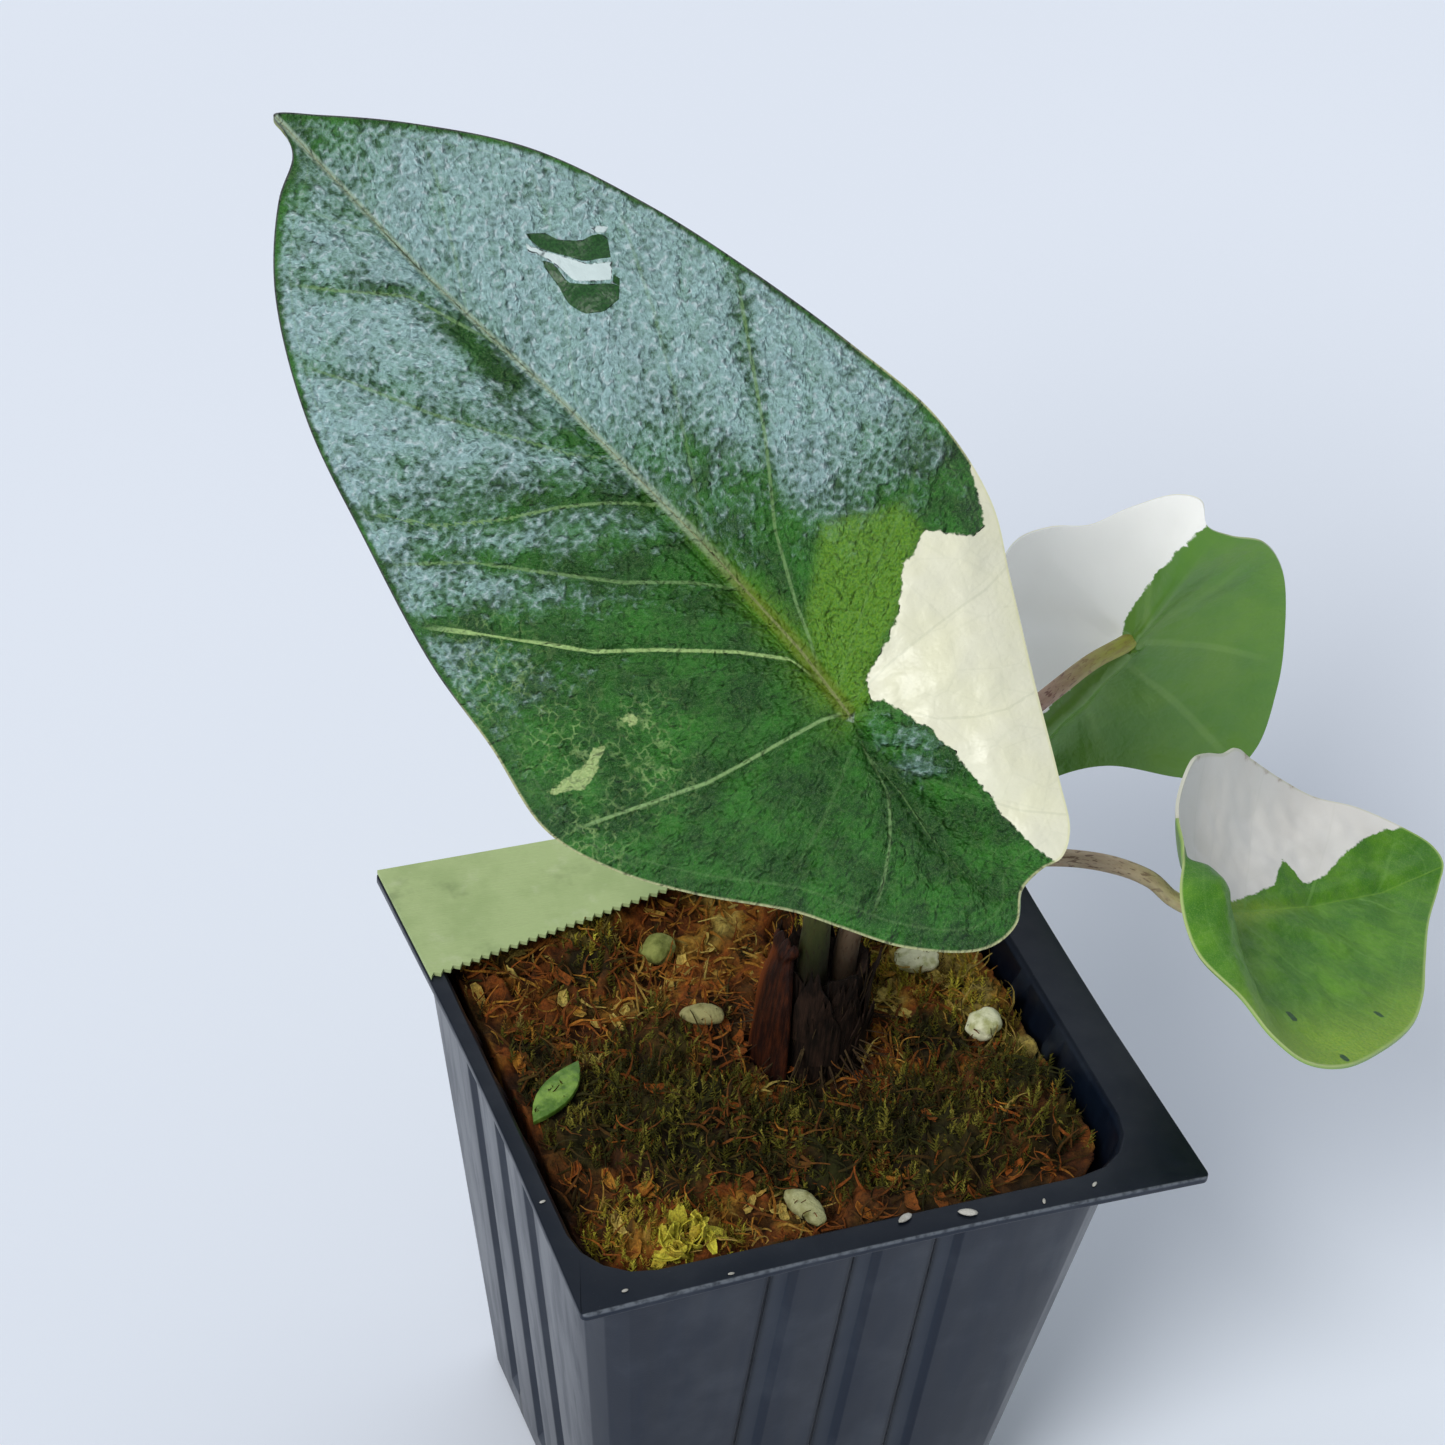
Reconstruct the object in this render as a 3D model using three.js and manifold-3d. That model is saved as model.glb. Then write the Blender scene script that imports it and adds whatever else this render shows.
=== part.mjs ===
// A young variegated alocasia with three leaves, growing in moss in a square nursery pot.
// Millimetres, +Z up. The origin is the middle of the pot's underside, and -Y is the front.
import * as THREE from "three";
import { mergeVertices } from "three/addons/utils/BufferGeometryUtils.js";
import Module from "manifold-3d";

const wasm = await Module();
wasm.setup();

// Clearance between pieces that touch
const GAP = 0.3;

// Points closer than this are one point
const MERGE_DISTANCE = 1e-4;

// Pot: a thin formed body that tapers down from a wide flat rim
const POT_HEIGHT = 70;
const WALL = 0.8;
const BODY_TOP_HALF = 33.5;
const BODY_BASE_HALF = 23.5;
const BODY_CORNER = 8;
const BASE_CORNER = 5;
const BASE_EDGE = 1.2;
const RIM_HALF = 37.5;
const RIM_CORNER = 0.8;
const RIM_SHIFT = 1.8;
const RIM_THICKNESS = 1;
const RIM_BOW = 0.7;
const RIM_ROOT_FLARE = 0.2;
const MOUTH_HALF = 33.3;
const MOUTH_EDGE_DROP = 0.7;
const MOUTH_EDGE_WALL = 0.7;
const CORNER_STEPS = 4;
const FLUTE_CENTRES = [-10, 0, 10];
const FLUTE_HALF_WIDTH = 1.1;
const FLUTE_SLOPE = 0.7;
const FLUTE_DEPTH = 0.8;
const FLUTE_LOW = 5;
const FLUTE_HIGH = 66.5;
const FLUTE_FADE = 1.8;

// Label: a piece of paper tape with one pinked edge, stuck over the rim's rear left corner
const TAPE_THICKNESS = 0.5;
const TAPE_CORNER = [-35.5, 37.3];
const TAPE_PINKED_FROM = [-35, 17.7];
const TAPE_PINKED_TO = [5.2, 26.3];
const TAPE_REAR_RIGHT = [3.4, 36.6];
const TAPE_TEETH = 32;
const TAPE_TOOTH = 0.6;

// Moss bed and the cushions that grow on it
const BED_LEVEL = 65;
const BED_EDGE_RISE = 1.2;
const BED_HALF = 31;
const BED_CORNER = 6.5;
const BED_CELLS = 22;
const BED_FOOT_SCALE = 0.68;
const MOSS_CEILING = 71.5;
const LUMPS = 90;
const LUMP_SEED = 11;
const LUMP_RADIUS = [2.6, 5.8];
const LUMP_HEIGHT = [-1.17, 1.43];
const SPOT_SLOPE = [1, 4];
const CROWN_CLEARING = 2;
const CUSHION_RECESS = 1.3;
const CUSHION_GAP = 0.4;
const CUSHION_EDGE = 0.02;
const GREEN_CUSHIONS = [
  { x: -22, y: -3, radius: 8.5, rise: 2.2 },
  { x: -13, y: -10, radius: 11, rise: 2.4 },
  { x: 1, y: -16, radius: 8.8, rise: 1.8 },
  { x: 14, y: -18, radius: 10.5, rise: 2.6 },
  { x: 24, y: -17, radius: 9, rise: 3 },
];
const GOLD_CUSHIONS = [
  { x: -25, y: -24, radius: 5.6, rise: 2.6 },
  { x: -19, y: -26.5, radius: 5.4, rise: 2.2 },
];
const ALL_CUSHIONS = [...GREEN_CUSHIONS, ...GOLD_CUSHIONS];

// Loose strands that lie half sunk in the bed
const STRANDS = 24;
const STRAND_SEED = 6;
const STRAND_STEPS = 4;
const STRAND_STEP = 2.8;
const STRAND_CURL = 0.2;
const STRAND_LIFT = 0.35;
const STRAND_ARCH = 0.5;
const STRAND_RADIUS = 0.85;
const STRAND_TAPER = 0.12;
const STRAND_MARGIN = 1.5;
const STRAND_FROM_CUSHION = 2.2;

// Pointed shoots that stand in the cushions
const GREEN_SHOOTS = { count: 80, seed: 21, height: 2 };
const GOLD_SHOOTS = { count: 20, seed: 31, height: 2.4 };
const SHOOT_SIZES = [0.6, 1.4];
const SHOOT_LEAN = 1.6;
const SHOOT_SINK = 0.3;
const SHOOT_RADIUS = 0.7;
const SHOOT_TIP = 0.12;
const SHOOT_DEPTH_IN_CUSHION = 0.3;
const SHOOT_MARGIN = 1.5;
const SHOOT_FROM_SPOT = 0.8;

// Three-sided tubes are enough for strands and shoots
const FIBRE_SIDES = 3;
const TRIES_PER_PIECE = 40;

// Crown: the corm's neck, with the dry base of a lost leaf beside it
const CROWN_PLACE = [6.5, 0.5];
const CROWN_FOOT = 56;
const CROWN_TOP = 79;
const CROWN_RADIUS = 5.9;
const CROWN_SIDES = 20;
const CROWN_PROFILE = [
  [0, CROWN_FOOT],
  [CROWN_RADIUS - 1, CROWN_FOOT],
  [CROWN_RADIUS, CROWN_FOOT + 3],
  [CROWN_RADIUS, CROWN_TOP - 12],
  [CROWN_RADIUS - 0.4, CROWN_TOP - 7],
  [CROWN_RADIUS - 0.4, CROWN_TOP],
  [0, CROWN_TOP],
];
const STEM_CIRCLE = 2.5;
const STEM_FOOT = 60;
const STEM_CLEARANCE = 0.42;
const HOLE_LENGTH = 30;
const SHEATH_FOOT = 58;
const SHEATH_TOP = 84;
const SHEATH_THICKNESS = 0.8;
const SHEATH_FROM_CROWN = 1;
const SHEATH_ARC = [150, 226];
const SHEATH_STEPS = 7;
const SHEATH_TEAR = 0.06;
const SHEATH_LEVELS = [
  { share: 0, flare: 0, width: 1 },
  { share: 0.35, flare: 0, width: 0.895 },
  { share: 0.7, flare: -0.5, width: 0.79 },
  { share: 1, flare: -2, width: 0.35 },
];

// Leaf blades
const BLADE_THICKNESS = 0.7;
const MIDRIB_DEPTH = 0.9;
const MIDRIB_WIDTH = 1.4;
const BLADE_RINGS = [0.1, 0.24, 0.4, 0.56, 0.72, 0.87, 1];
const SPOKES_PER_RIB = 2;

// Petioles: how finely each is cut, and the share of its length on which it gets slimmer
const PETIOLE_SIDES = 8;
const PETIOLE_STEPS = 20;
const PETIOLE_TAPER = 0.6;

// The leaves. A blade's own frame lies at its attachment: x across, y along the midrib to the tip,
// z out of the upper face. Each rib runs from the attachment to one point of the margin:
// [across, along, lift of the margin, how far the rib's middle arches up].
const LEAVES = {
  main: {
    attachment: [2.3, -7.9, 121.8],
    along: [-0.467, 0.785, 0.408],
    facing: [-0.388, -0.596, 0.703],
    ribs: [
      [0, 94.5, -5, 0.4],
      [3.8, 90.5, -4.5, 1.2],
      [10.4, 82.5, -4, 2.6],
      [18, 71, -4, 3.4],
      [23, 57, -4, 3.6],
      [26, 44, -4, 3.4],
      [28.3, 30.5, -4.5, 3.2],
      [29.5, 18, -5, 3.2],
      [27.3, 7, -4.5, 3],
      [22.7, -1, -3.5, 2.6],
      [17, -10.7, -2.5, 2.2],
      [11.5, -20.4, -2.5, 1.8],
      [8.6, -25, -3, 1.4],
      [6, -26.5, -3, 1],
      [3.5, -26, -2.5, 0.2],
      [0.4, -26.2, -2, -0.8],
      [-2.6, -28.4, -3, 0.4],
      [-6.8, -27.9, -4, 1.6],
      [-12.9, -21.8, -5, 2.6],
      [-16.5, -15.4, -4.5, 2.8],
      [-18.9, -10.9, -4, 2.6],
      [-25.7, -1.6, -3.5, 2.8],
      [-30.2, 6.4, -3.5, 3],
      [-32.5, 14.5, -4, 3.2],
      [-30.6, 25.5, -4, 3.2],
      [-29.2, 36.5, -4, 3.2],
      [-25.2, 51.7, -4, 3.4],
      [-20.7, 66.4, -4.5, 3.4],
      [-13.4, 79.6, -4.5, 2.8],
      [-6.2, 86.6, -4, 1.8],
      [-1.7, 89.2, -4, 1],
      [-0.4, 92.2, -4.5, 0.5],
    ],
    stem: { angle: 215, footRadius: 2.1, headRadius: 1.5 },
    route: [
      [4.3, -1.5, 87],
      [4.6, -2.4, 98],
      [5.4, -3, 109],
      [4.6, -4.3, 117.4],
    ],
    colour: 0x3f7f66,
  },
  rear: {
    attachment: [60.5, 36.1, 86],
    along: [-0.483, 0.215, -0.849],
    facing: [0.406, 0.914, 0],
    ribs: [
      [0.4, 37.5, -1.5, 0.3],
      [3.8, 31.5, 0, 0.4],
      [6.4, 24, 1, 0.8],
      [10.6, 17.8, 1, 1.2],
      [18.6, 13.8, 1, 1.4],
      [23.7, 11.5, 2, 1.4],
      [25, 6, 4, 1.4],
      [21.4, -2.5, 5, 1.2],
      [17.2, -8.9, 5, 1.2],
      [9.3, -17.8, 4, 1.2],
      [4.2, -20.1, 3, 0.8],
      [0.1, -18.9, 2, -0.2],
      [-3, -18.3, 2, -0.8],
      [-5.4, -20.2, 3, 0],
      [-7.8, -18.6, 4, 0.4],
      [-10.6, -12.9, 5, 0.2],
      [-12.8, -7.8, 5, 0.2],
      [-16.8, -5.2, 4, 0.8],
      [-19, -1.5, 3.5, 1.2],
      [-18, 4, 3, 1.4],
      [-13.2, 14.4, 2, 1.4],
      [-7.6, 27, 1, 1],
      [-2.8, 34, 0, 0.6],
    ],
    stem: { angle: 95, footRadius: 1.8, headRadius: 1.4 },
    route: [
      [6.8, 4.1, 84],
      [12, 8.3, 87],
      [22, 14.8, 87.6],
      [35.5, 22.7, 86],
      [46.5, 29.3, 85.6],
      [54, 33.2, 86],
    ],
    colour: 0x6f9a4c,
  },
  right: {
    attachment: [48.7, -12.4, 87.5],
    along: [0.877, 0.267, -0.399],
    facing: [0.464, -0.253, 0.849],
    ribs: [
      [0, 37.6, 6.4, -1.8],
      [2.8, 35.4, 5.6, -1.6],
      [7.6, 29.6, 5.5, -1.6],
      [13.4, 23.5, 6.1, -1.8],
      [18.2, 18.4, 6.8, -2],
      [21.7, 13.5, 6.9, -2],
      [24.4, 6.2, 6.5, -1.8],
      [25.6, -1, 5.5, -1.6],
      [24.3, -6.2, 4.9, -1],
      [21, -10.5, 5.5, 0.4],
      [16.4, -12.6, 5.8, 2],
      [9.7, -13.7, 4.1, 4],
      [5.7, -13.2, 4, 4.6],
      [1.5, -12.1, 4.8, 4.4],
      [-1.8, -10, 5.6, 2.8],
      [-4, -8.6, 6.1, -1],
      [-7.3, -7.4, 6.4, -1.8],
      [-10.5, -4.9, 6.5, -1.8],
      [-14.5, -0.6, 7.6, -2.2],
      [-15.8, 3.7, 7, -2],
      [-16.1, 7.4, 6.5, -1.8],
      [-16.7, 9.9, 6.7, -2],
      [-16.1, 13.5, 5.4, -1.6],
      [-14.2, 20, 3.6, -1],
      [-12, 25.1, 3.1, -0.8],
      [-9.6, 30.1, 4.3, -1.2],
      [-5.6, 35.2, 5.5, -1.6],
      [-2.6, 37.6, 6.2, -1.8],
    ],
    stem: { angle: 335, footRadius: 1.6, headRadius: 1 },
    route: [
      [9.4, -0.9, 84],
      [14, -2, 88.6],
      [21, -3.4, 91.3],
      [30, -4.8, 92.3],
      [37, -7.2, 91.8],
      [41.5, -9.6, 90.4],
      [44.2, -10.8, 87.8],
      [46.3, -11.5, 86.6],
    ],
    colour: 0x8fae4a,
  },
};

// Loose bits that lie on the moss: [half length, half width, half height]
const PALE_BITS = [
  { x: 25.4, y: -5.1, size: [2.3, 1.9, 1.6], turn: 20 },
  { x: -5, y: -26, size: [1.5, 3, 1.2], turn: 20 },
  { x: 22.8, y: 8.9, size: [2.1, 2.6, 1.2], turn: 60 },
  { x: -5.5, y: 6, size: [2.6, 1.5, 1.1], turn: -20 },
  { x: -6.1, y: 19.5, size: [2.4, 2, 1.3], turn: 40 },
];
const PALE_BIT_SEED = 40;
const PALE_BIT_SWELL = [0.82, 1.12];
const LEAF_BIT = { x: -26.5, y: -3, half: [5, 2], thickness: 0.8, turn: 38, tilt: 10 };
const LEAF_BIT_SKEW = 0.2;
const LEAF_BIT_BULGE = [1.9, 1.8];
const LEAF_BIT_CURVE_STEPS = 8;

// Finishes: what three.js's standard material takes
const FINISHES = {
  pot: { color: 0x343a43, roughness: 0.42 },
  tape: { color: 0x9fb377, roughness: 0.8 },
  bed: { color: 0x6d4d22, roughness: 0.95 },
  greenMoss: { color: 0x55661f, roughness: 0.9 },
  goldMoss: { color: 0x9c9a2c, roughness: 0.9 },
  crown: { color: 0x4a3a22, roughness: 0.85 },
  sheath: { color: 0x6b3a1c, roughness: 0.8 },
  petiole: { color: 0x7a6146, roughness: 0.6 },
  paleBit: { color: 0xd8d6b4, roughness: 0.8 },
  leafBit: { color: 0x7fa83a, roughness: 0.5 },
};
const BLADE_SHEEN = { roughness: 0.35, metalness: 0.25 };

// Small helpers

// A repeatable stream of numbers from 0 to 1
function stream(seed) {
  const factor = 1664525;
  const addend = 1013904223;
  const span = 2 ** 32;
  let state = seed;
  return () => {
    state = (state * factor + addend) % span;
    return state / span;
  };
}

// The next number of a stream, laid out between two limits
function between(random, [low, high]) {
  return low + random() * (high - low);
}

// From 0 below low to 1 above high, without a corner
function ramp(low, high, value) {
  return THREE.MathUtils.smoothstep(value, low, high);
}

function vector(list) {
  return new THREE.Vector3(...list);
}

function radians(degrees) {
  return THREE.MathUtils.degToRad(degrees);
}

function geometryFrom(points, triangles) {
  const geometry = new THREE.BufferGeometry();
  geometry.setFromPoints(points);
  geometry.setIndex(triangles);
  return geometry;
}

// Solids for joining and cutting
function toSolid(geometry) {
  const bare = geometry.index ? geometry.toNonIndexed() : geometry.clone();
  bare.deleteAttribute("normal");
  bare.deleteAttribute("uv");
  const merged = mergeVertices(bare, MERGE_DISTANCE);
  return new wasm.Manifold(
    new wasm.Mesh({
      numProp: 3,
      vertProperties: merged.attributes.position.array,
      triVerts: new Uint32Array(merged.index.array),
    }),
  );
}

function toGeometry(solid) {
  const mesh = solid.getMesh();
  const geometry = new THREE.BufferGeometry();
  geometry.setAttribute("position", new THREE.BufferAttribute(mesh.vertProperties, 3));
  geometry.setIndex(new THREE.BufferAttribute(mesh.triVerts, 1));
  return geometry;
}

// A closed skin over rings of equal point counts, each end closed by a fan to its middle point
function loft(rings, firstMiddle, lastMiddle) {
  const count = rings[0].length;
  const points = rings.flat();
  const triangles = [];
  for (let ring = 0; ring + 1 < rings.length; ring++) {
    for (let i = 0; i < count; i++) {
      const next = (i + 1) % count;
      const a = ring * count + i;
      const b = ring * count + next;
      triangles.push(a, b, b + count, a, b + count, a + count);
    }
  }
  const last = (rings.length - 1) * count;
  const foot = points.push(firstMiddle) - 1;
  const head = points.push(lastMiddle) - 1;
  for (let i = 0; i < count; i++) {
    const next = (i + 1) % count;
    triangles.push(foot, next, i, head, last + i, last + next);
  }
  return geometryFrom(points, triangles);
}

// A round tube through points, closed at both ends, with a radius for each point.
// Where an end plane is given, the last section lies in it.
function tube(points, radii, sides, endPlane) {
  const rings = [];
  let side = new THREE.Vector3(1, 0, 0);
  points.forEach((point, i) => {
    const before = points[Math.max(i - 1, 0)];
    const after = points[Math.min(i + 1, points.length - 1)];
    const forward = after.clone().sub(before).normalize();
    side = side.clone().addScaledVector(forward, -side.dot(forward)).normalize();
    const up = forward.clone().cross(side);
    const ring = [];
    for (let k = 0; k < sides; k++) {
      const angle = (k / sides) * 2 * Math.PI;
      const place = point.clone();
      place.addScaledVector(side, radii[i] * Math.cos(angle));
      place.addScaledVector(up, radii[i] * Math.sin(angle));
      if (endPlane && i === points.length - 1) {
        const lift = endPlane.dot(point.clone().sub(place)) / endPlane.dot(forward);
        place.addScaledVector(forward, lift);
      }
      ring.push(place);
    }
    rings.push(ring);
  });
  return loft(rings, points[0].clone(), points[points.length - 1].clone());
}

function mesh(name, geometry, finish) {
  const piece = new THREE.Mesh(geometry, new THREE.MeshStandardMaterial(finish));
  piece.name = name;
  return piece;
}

// Pot

function bodyHalf(z) {
  return THREE.MathUtils.lerp(BODY_BASE_HALF, BODY_TOP_HALF, z / POT_HEIGHT);
}

function bodyCorner(z) {
  return THREE.MathUtils.lerp(BASE_CORNER, BODY_CORNER, z / POT_HEIGHT);
}

// One level of the pot: a square with round corners, and flutes that step in by depth.
// A bow pulls the middle of each side in, and shift moves the ring along x.
function potRing({ half, corner, z, depth = 0, bow = 0, shift = 0 }) {
  const front = [];
  for (const centre of FLUTE_CENTRES) {
    front.push([centre - FLUTE_HALF_WIDTH - FLUTE_SLOPE, -half]);
    front.push([centre - FLUTE_HALF_WIDTH, -half + depth]);
    front.push([centre + FLUTE_HALF_WIDTH, -half + depth]);
    front.push([centre + FLUTE_HALF_WIDTH + FLUTE_SLOPE, -half]);
  }
  for (let k = 0; k <= CORNER_STEPS; k++) {
    const angle = (k / CORNER_STEPS - 1) * (Math.PI / 2);
    const middle = half - corner;
    front.push([middle + corner * Math.cos(angle), -middle + corner * Math.sin(angle)]);
  }
  const ring = [];
  for (let side = 0; side < 4; side++) {
    for (const [along, out] of front) {
      const pull = bow * Math.max(0, 1 - (along / half) ** 2);
      const point = new THREE.Vector3(along, Math.min(out + pull, along), z);
      if (bow === 0) point.y = out;
      point.applyAxisAngle(new THREE.Vector3(0, 0, 1), (side * Math.PI) / 2);
      point.x += shift;
      ring.push(point);
    }
  }
  return ring;
}

function bodyRing(z, inset, depth) {
  return potRing({ half: bodyHalf(z) - inset, corner: bodyCorner(z) - inset, z, depth });
}

function makePot() {
  const rim = { half: RIM_HALF, corner: RIM_CORNER, bow: RIM_BOW, shift: RIM_SHIFT };
  const rimUnderside = POT_HEIGHT - RIM_THICKNESS;
  const rings = [
    bodyRing(0, BASE_EDGE, 0),
    bodyRing(BASE_EDGE, 0, 0),
    bodyRing(FLUTE_LOW, 0, 0),
    bodyRing(FLUTE_LOW + FLUTE_FADE, 0, FLUTE_DEPTH),
    bodyRing(FLUTE_HIGH, 0, FLUTE_DEPTH),
    bodyRing(rimUnderside, -RIM_ROOT_FLARE, 0),
    potRing({ ...rim, z: rimUnderside }),
    potRing({ ...rim, z: POT_HEIGHT }),
    potRing({ half: MOUTH_HALF, corner: BODY_CORNER, z: POT_HEIGHT }),
    bodyRing(POT_HEIGHT - MOUTH_EDGE_DROP, MOUTH_EDGE_WALL, 0),
    bodyRing(FLUTE_HIGH, WALL, FLUTE_DEPTH),
    bodyRing(FLUTE_LOW + FLUTE_FADE, WALL, FLUTE_DEPTH),
    bodyRing(FLUTE_LOW, WALL, 0),
    bodyRing(WALL, WALL + BASE_EDGE, 0),
  ];
  const geometry = loft(rings, new THREE.Vector3(0, 0, 0), new THREE.Vector3(0, 0, WALL));
  return mesh("pot", geometry, FINISHES.pot);
}

// Label tape

function makeLabelTape() {
  const from = new THREE.Vector2(...TAPE_PINKED_FROM);
  const to = new THREE.Vector2(...TAPE_PINKED_TO);
  const inward = new THREE.Vector2(from.y - to.y, to.x - from.x).normalize();
  const outline = [new THREE.Vector2(...TAPE_CORNER)];
  for (let tooth = 0; tooth <= TAPE_TEETH; tooth++) {
    outline.push(from.clone().lerp(to, tooth / TAPE_TEETH));
    if (tooth === TAPE_TEETH) break;
    const notch = from.clone().lerp(to, (tooth + 0.5) / TAPE_TEETH);
    outline.push(notch.addScaledVector(inward, TAPE_TOOTH));
  }
  outline.push(new THREE.Vector2(...TAPE_REAR_RIGHT));
  const geometry = new THREE.ExtrudeGeometry(new THREE.Shape(outline), {
    depth: TAPE_THICKNESS,
    bevelEnabled: false,
  });
  const tape = mesh("label_tape", geometry, FINISHES.tape);
  tape.position.z = POT_HEIGHT;
  return tape;
}

// Moss

const lumps = (() => {
  const random = stream(LUMP_SEED);
  return Array.from({ length: LUMPS }, () => ({
    x: between(random, [-BED_HALF, BED_HALF]),
    y: between(random, [-BED_HALF, BED_HALF]),
    radius: between(random, LUMP_RADIUS),
    height: between(random, LUMP_HEIGHT),
  }));
})();

// How far inside a group of cushions a place lies: 1 at a middle, 0 at the edge and outside
function cushionDepth(cushions, x, y) {
  return Math.max(0, ...cushions.map((c) => 1 - Math.hypot(x - c.x, y - c.y) / c.radius));
}

function cushionRise(cushions, x, y) {
  return Math.max(
    0,
    ...cushions.map((c) => c.rise * (1 - (Math.hypot(x - c.x, y - c.y) / c.radius) ** 2)),
  );
}

// The moss surface, without the level spots that loose bits lie on
function openSurface(x, y) {
  const towardsWall = Math.max(Math.abs(x), Math.abs(y)) / BED_HALF;
  let z = BED_LEVEL + BED_EDGE_RISE * towardsWall ** 3;
  for (const lump of lumps) {
    const distance = Math.hypot(x - lump.x, y - lump.y) / lump.radius;
    z += lump.height * Math.exp(-distance * distance);
  }
  return z + cushionRise(ALL_CUSHIONS, x, y);
}

const levelSpots = [
  ...PALE_BITS.map((bit) => ({ x: bit.x, y: bit.y, radius: Math.max(...bit.size) })),
  { x: LEAF_BIT.x, y: LEAF_BIT.y, radius: LEAF_BIT.half[0] },
  { x: CROWN_PLACE[0], y: CROWN_PLACE[1], radius: CROWN_RADIUS + CROWN_CLEARING },
].map((spot) => ({ ...spot, z: openSurface(spot.x, spot.y) }));

function mossSurface(x, y) {
  const [near, far] = SPOT_SLOPE;
  let z = openSurface(x, y);
  for (const spot of levelSpots) {
    const beyond = Math.hypot(x - spot.x, y - spot.y) - spot.radius;
    z = THREE.MathUtils.lerp(spot.z, z, ramp(near, far, beyond));
  }
  return Math.min(z, MOSS_CEILING);
}

// Whether a place lies on the bed, a margin or more inside its round-cornered outline
function onBed(x, y, margin) {
  const half = BED_HALF - margin;
  const dx = Math.abs(x) - (half - BED_CORNER);
  const dy = Math.abs(y) - (half - BED_CORNER);
  if (dx > 0 && dy > 0) return Math.hypot(dx, dy) < BED_CORNER;
  return Math.max(dx, dy) < BED_CORNER;
}

function clearOfSpots(x, y, margin) {
  return levelSpots.every((spot) => Math.hypot(x - spot.x, y - spot.y) > spot.radius + margin);
}

// A place in a square grid, drawn into the round-cornered outline of the bed
function bedPlace(i, j) {
  const x = ((2 * i) / BED_CELLS - 1) * BED_HALF;
  const y = ((2 * j) / BED_CELLS - 1) * BED_HALF;
  const straight = BED_HALF - BED_CORNER;
  const dx = Math.max(0, Math.abs(x) - straight);
  const dy = Math.max(0, Math.abs(y) - straight);
  const across = dx * Math.sqrt(1 - dy ** 2 / (2 * BED_CORNER ** 2)) - dx;
  const along = dy * Math.sqrt(1 - dx ** 2 / (2 * BED_CORNER ** 2)) - dy;
  return [x + Math.sign(x) * across, y + Math.sign(y) * along];
}

// The grid's cells, each cut into two triangles of grid corners
function bedTriangles() {
  const loops = [];
  for (let i = 0; i < BED_CELLS; i++) {
    for (let j = 0; j < BED_CELLS; j++) {
      loops.push([[i, j], [i + 1, j], [i + 1, j + 1]], [[i, j], [i + 1, j + 1], [i, j + 1]]);
    }
  }
  return loops;
}

// A solid between two height functions, over the grid's triangles whose three corners are wanted
function slab(wanted, topHeight, bottomHeight) {
  const points = [];
  const numbers = new Map();
  const number = ([i, j], top) => {
    const key = `${i} ${j} ${top}`;
    if (!numbers.has(key)) {
      const [x, y] = bedPlace(i, j);
      const z = top ? topHeight(x, y) : bottomHeight(x, y);
      numbers.set(key, points.push(new THREE.Vector3(x, y, z)) - 1);
    }
    return numbers.get(key);
  };
  const loops = bedTriangles().filter((loop) => loop.every(([i, j]) => wanted(...bedPlace(i, j))));
  const edges = new Set(loops.flatMap((loop) => loop.map((from, k) => `${from} ${loop[(k + 1) % 3]}`)));
  const triangles = [];
  for (const loop of loops) {
    const top = loop.map((corner) => number(corner, true));
    const low = loop.map((corner) => number(corner, false));
    triangles.push(...top, low[0], low[2], low[1]);
    loop.forEach((from, k) => {
      const next = (k + 1) % 3;
      if (edges.has(`${loop[next]} ${from}`)) return;
      triangles.push(top[k], low[k], low[next], top[k], low[next], top[next]);
    });
  }
  return geometryFrom(points, triangles);
}

function insideCushions(cushions, x, y) {
  return cushionDepth(cushions, x, y) > CUSHION_EDGE;
}

function bedSurface(x, y) {
  return mossSurface(x, y) - (insideCushions(ALL_CUSHIONS, x, y) ? CUSHION_RECESS : 0);
}

// A curly strand that lies half sunk in the moss
function strand(random, x, y) {
  const heading = random() * 2 * Math.PI;
  const curl = (random() - 0.5) * STRAND_CURL;
  const points = [];
  const radii = [];
  for (let step = 0; step <= STRAND_STEPS; step++) {
    const fromMiddle = step - STRAND_STEPS / 2;
    const along = fromMiddle * STRAND_STEP;
    const angle = heading + curl * along;
    const px = x + along * Math.cos(angle);
    const py = y + along * Math.sin(angle);
    const lift = STRAND_LIFT + STRAND_ARCH * Math.sin((step / STRAND_STEPS) * Math.PI);
    points.push(new THREE.Vector3(px, py, mossSurface(px, py) + lift));
    radii.push(STRAND_RADIUS - STRAND_TAPER * Math.abs(fromMiddle));
  }
  return { points, radii };
}

function clearOfCushions(x, y, margin) {
  return ALL_CUSHIONS.every((c) => Math.hypot(x - c.x, y - c.y) > c.radius + margin);
}

function strandLiesFree(points) {
  return points.every(
    ({ x, y }) =>
      onBed(x, y, STRAND_MARGIN) &&
      clearOfCushions(x, y, STRAND_FROM_CUSHION) &&
      clearOfSpots(x, y, STRAND_MARGIN),
  );
}

function scatter(seed, count, tryOne) {
  const random = stream(seed);
  const pieces = [];
  for (let attempt = 0; attempt < count * TRIES_PER_PIECE && pieces.length < count; attempt++) {
    const x = between(random, [-BED_HALF, BED_HALF]);
    const y = between(random, [-BED_HALF, BED_HALF]);
    const piece = tryOne(random, x, y);
    if (piece) pieces.push(piece);
  }
  return pieces;
}

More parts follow.
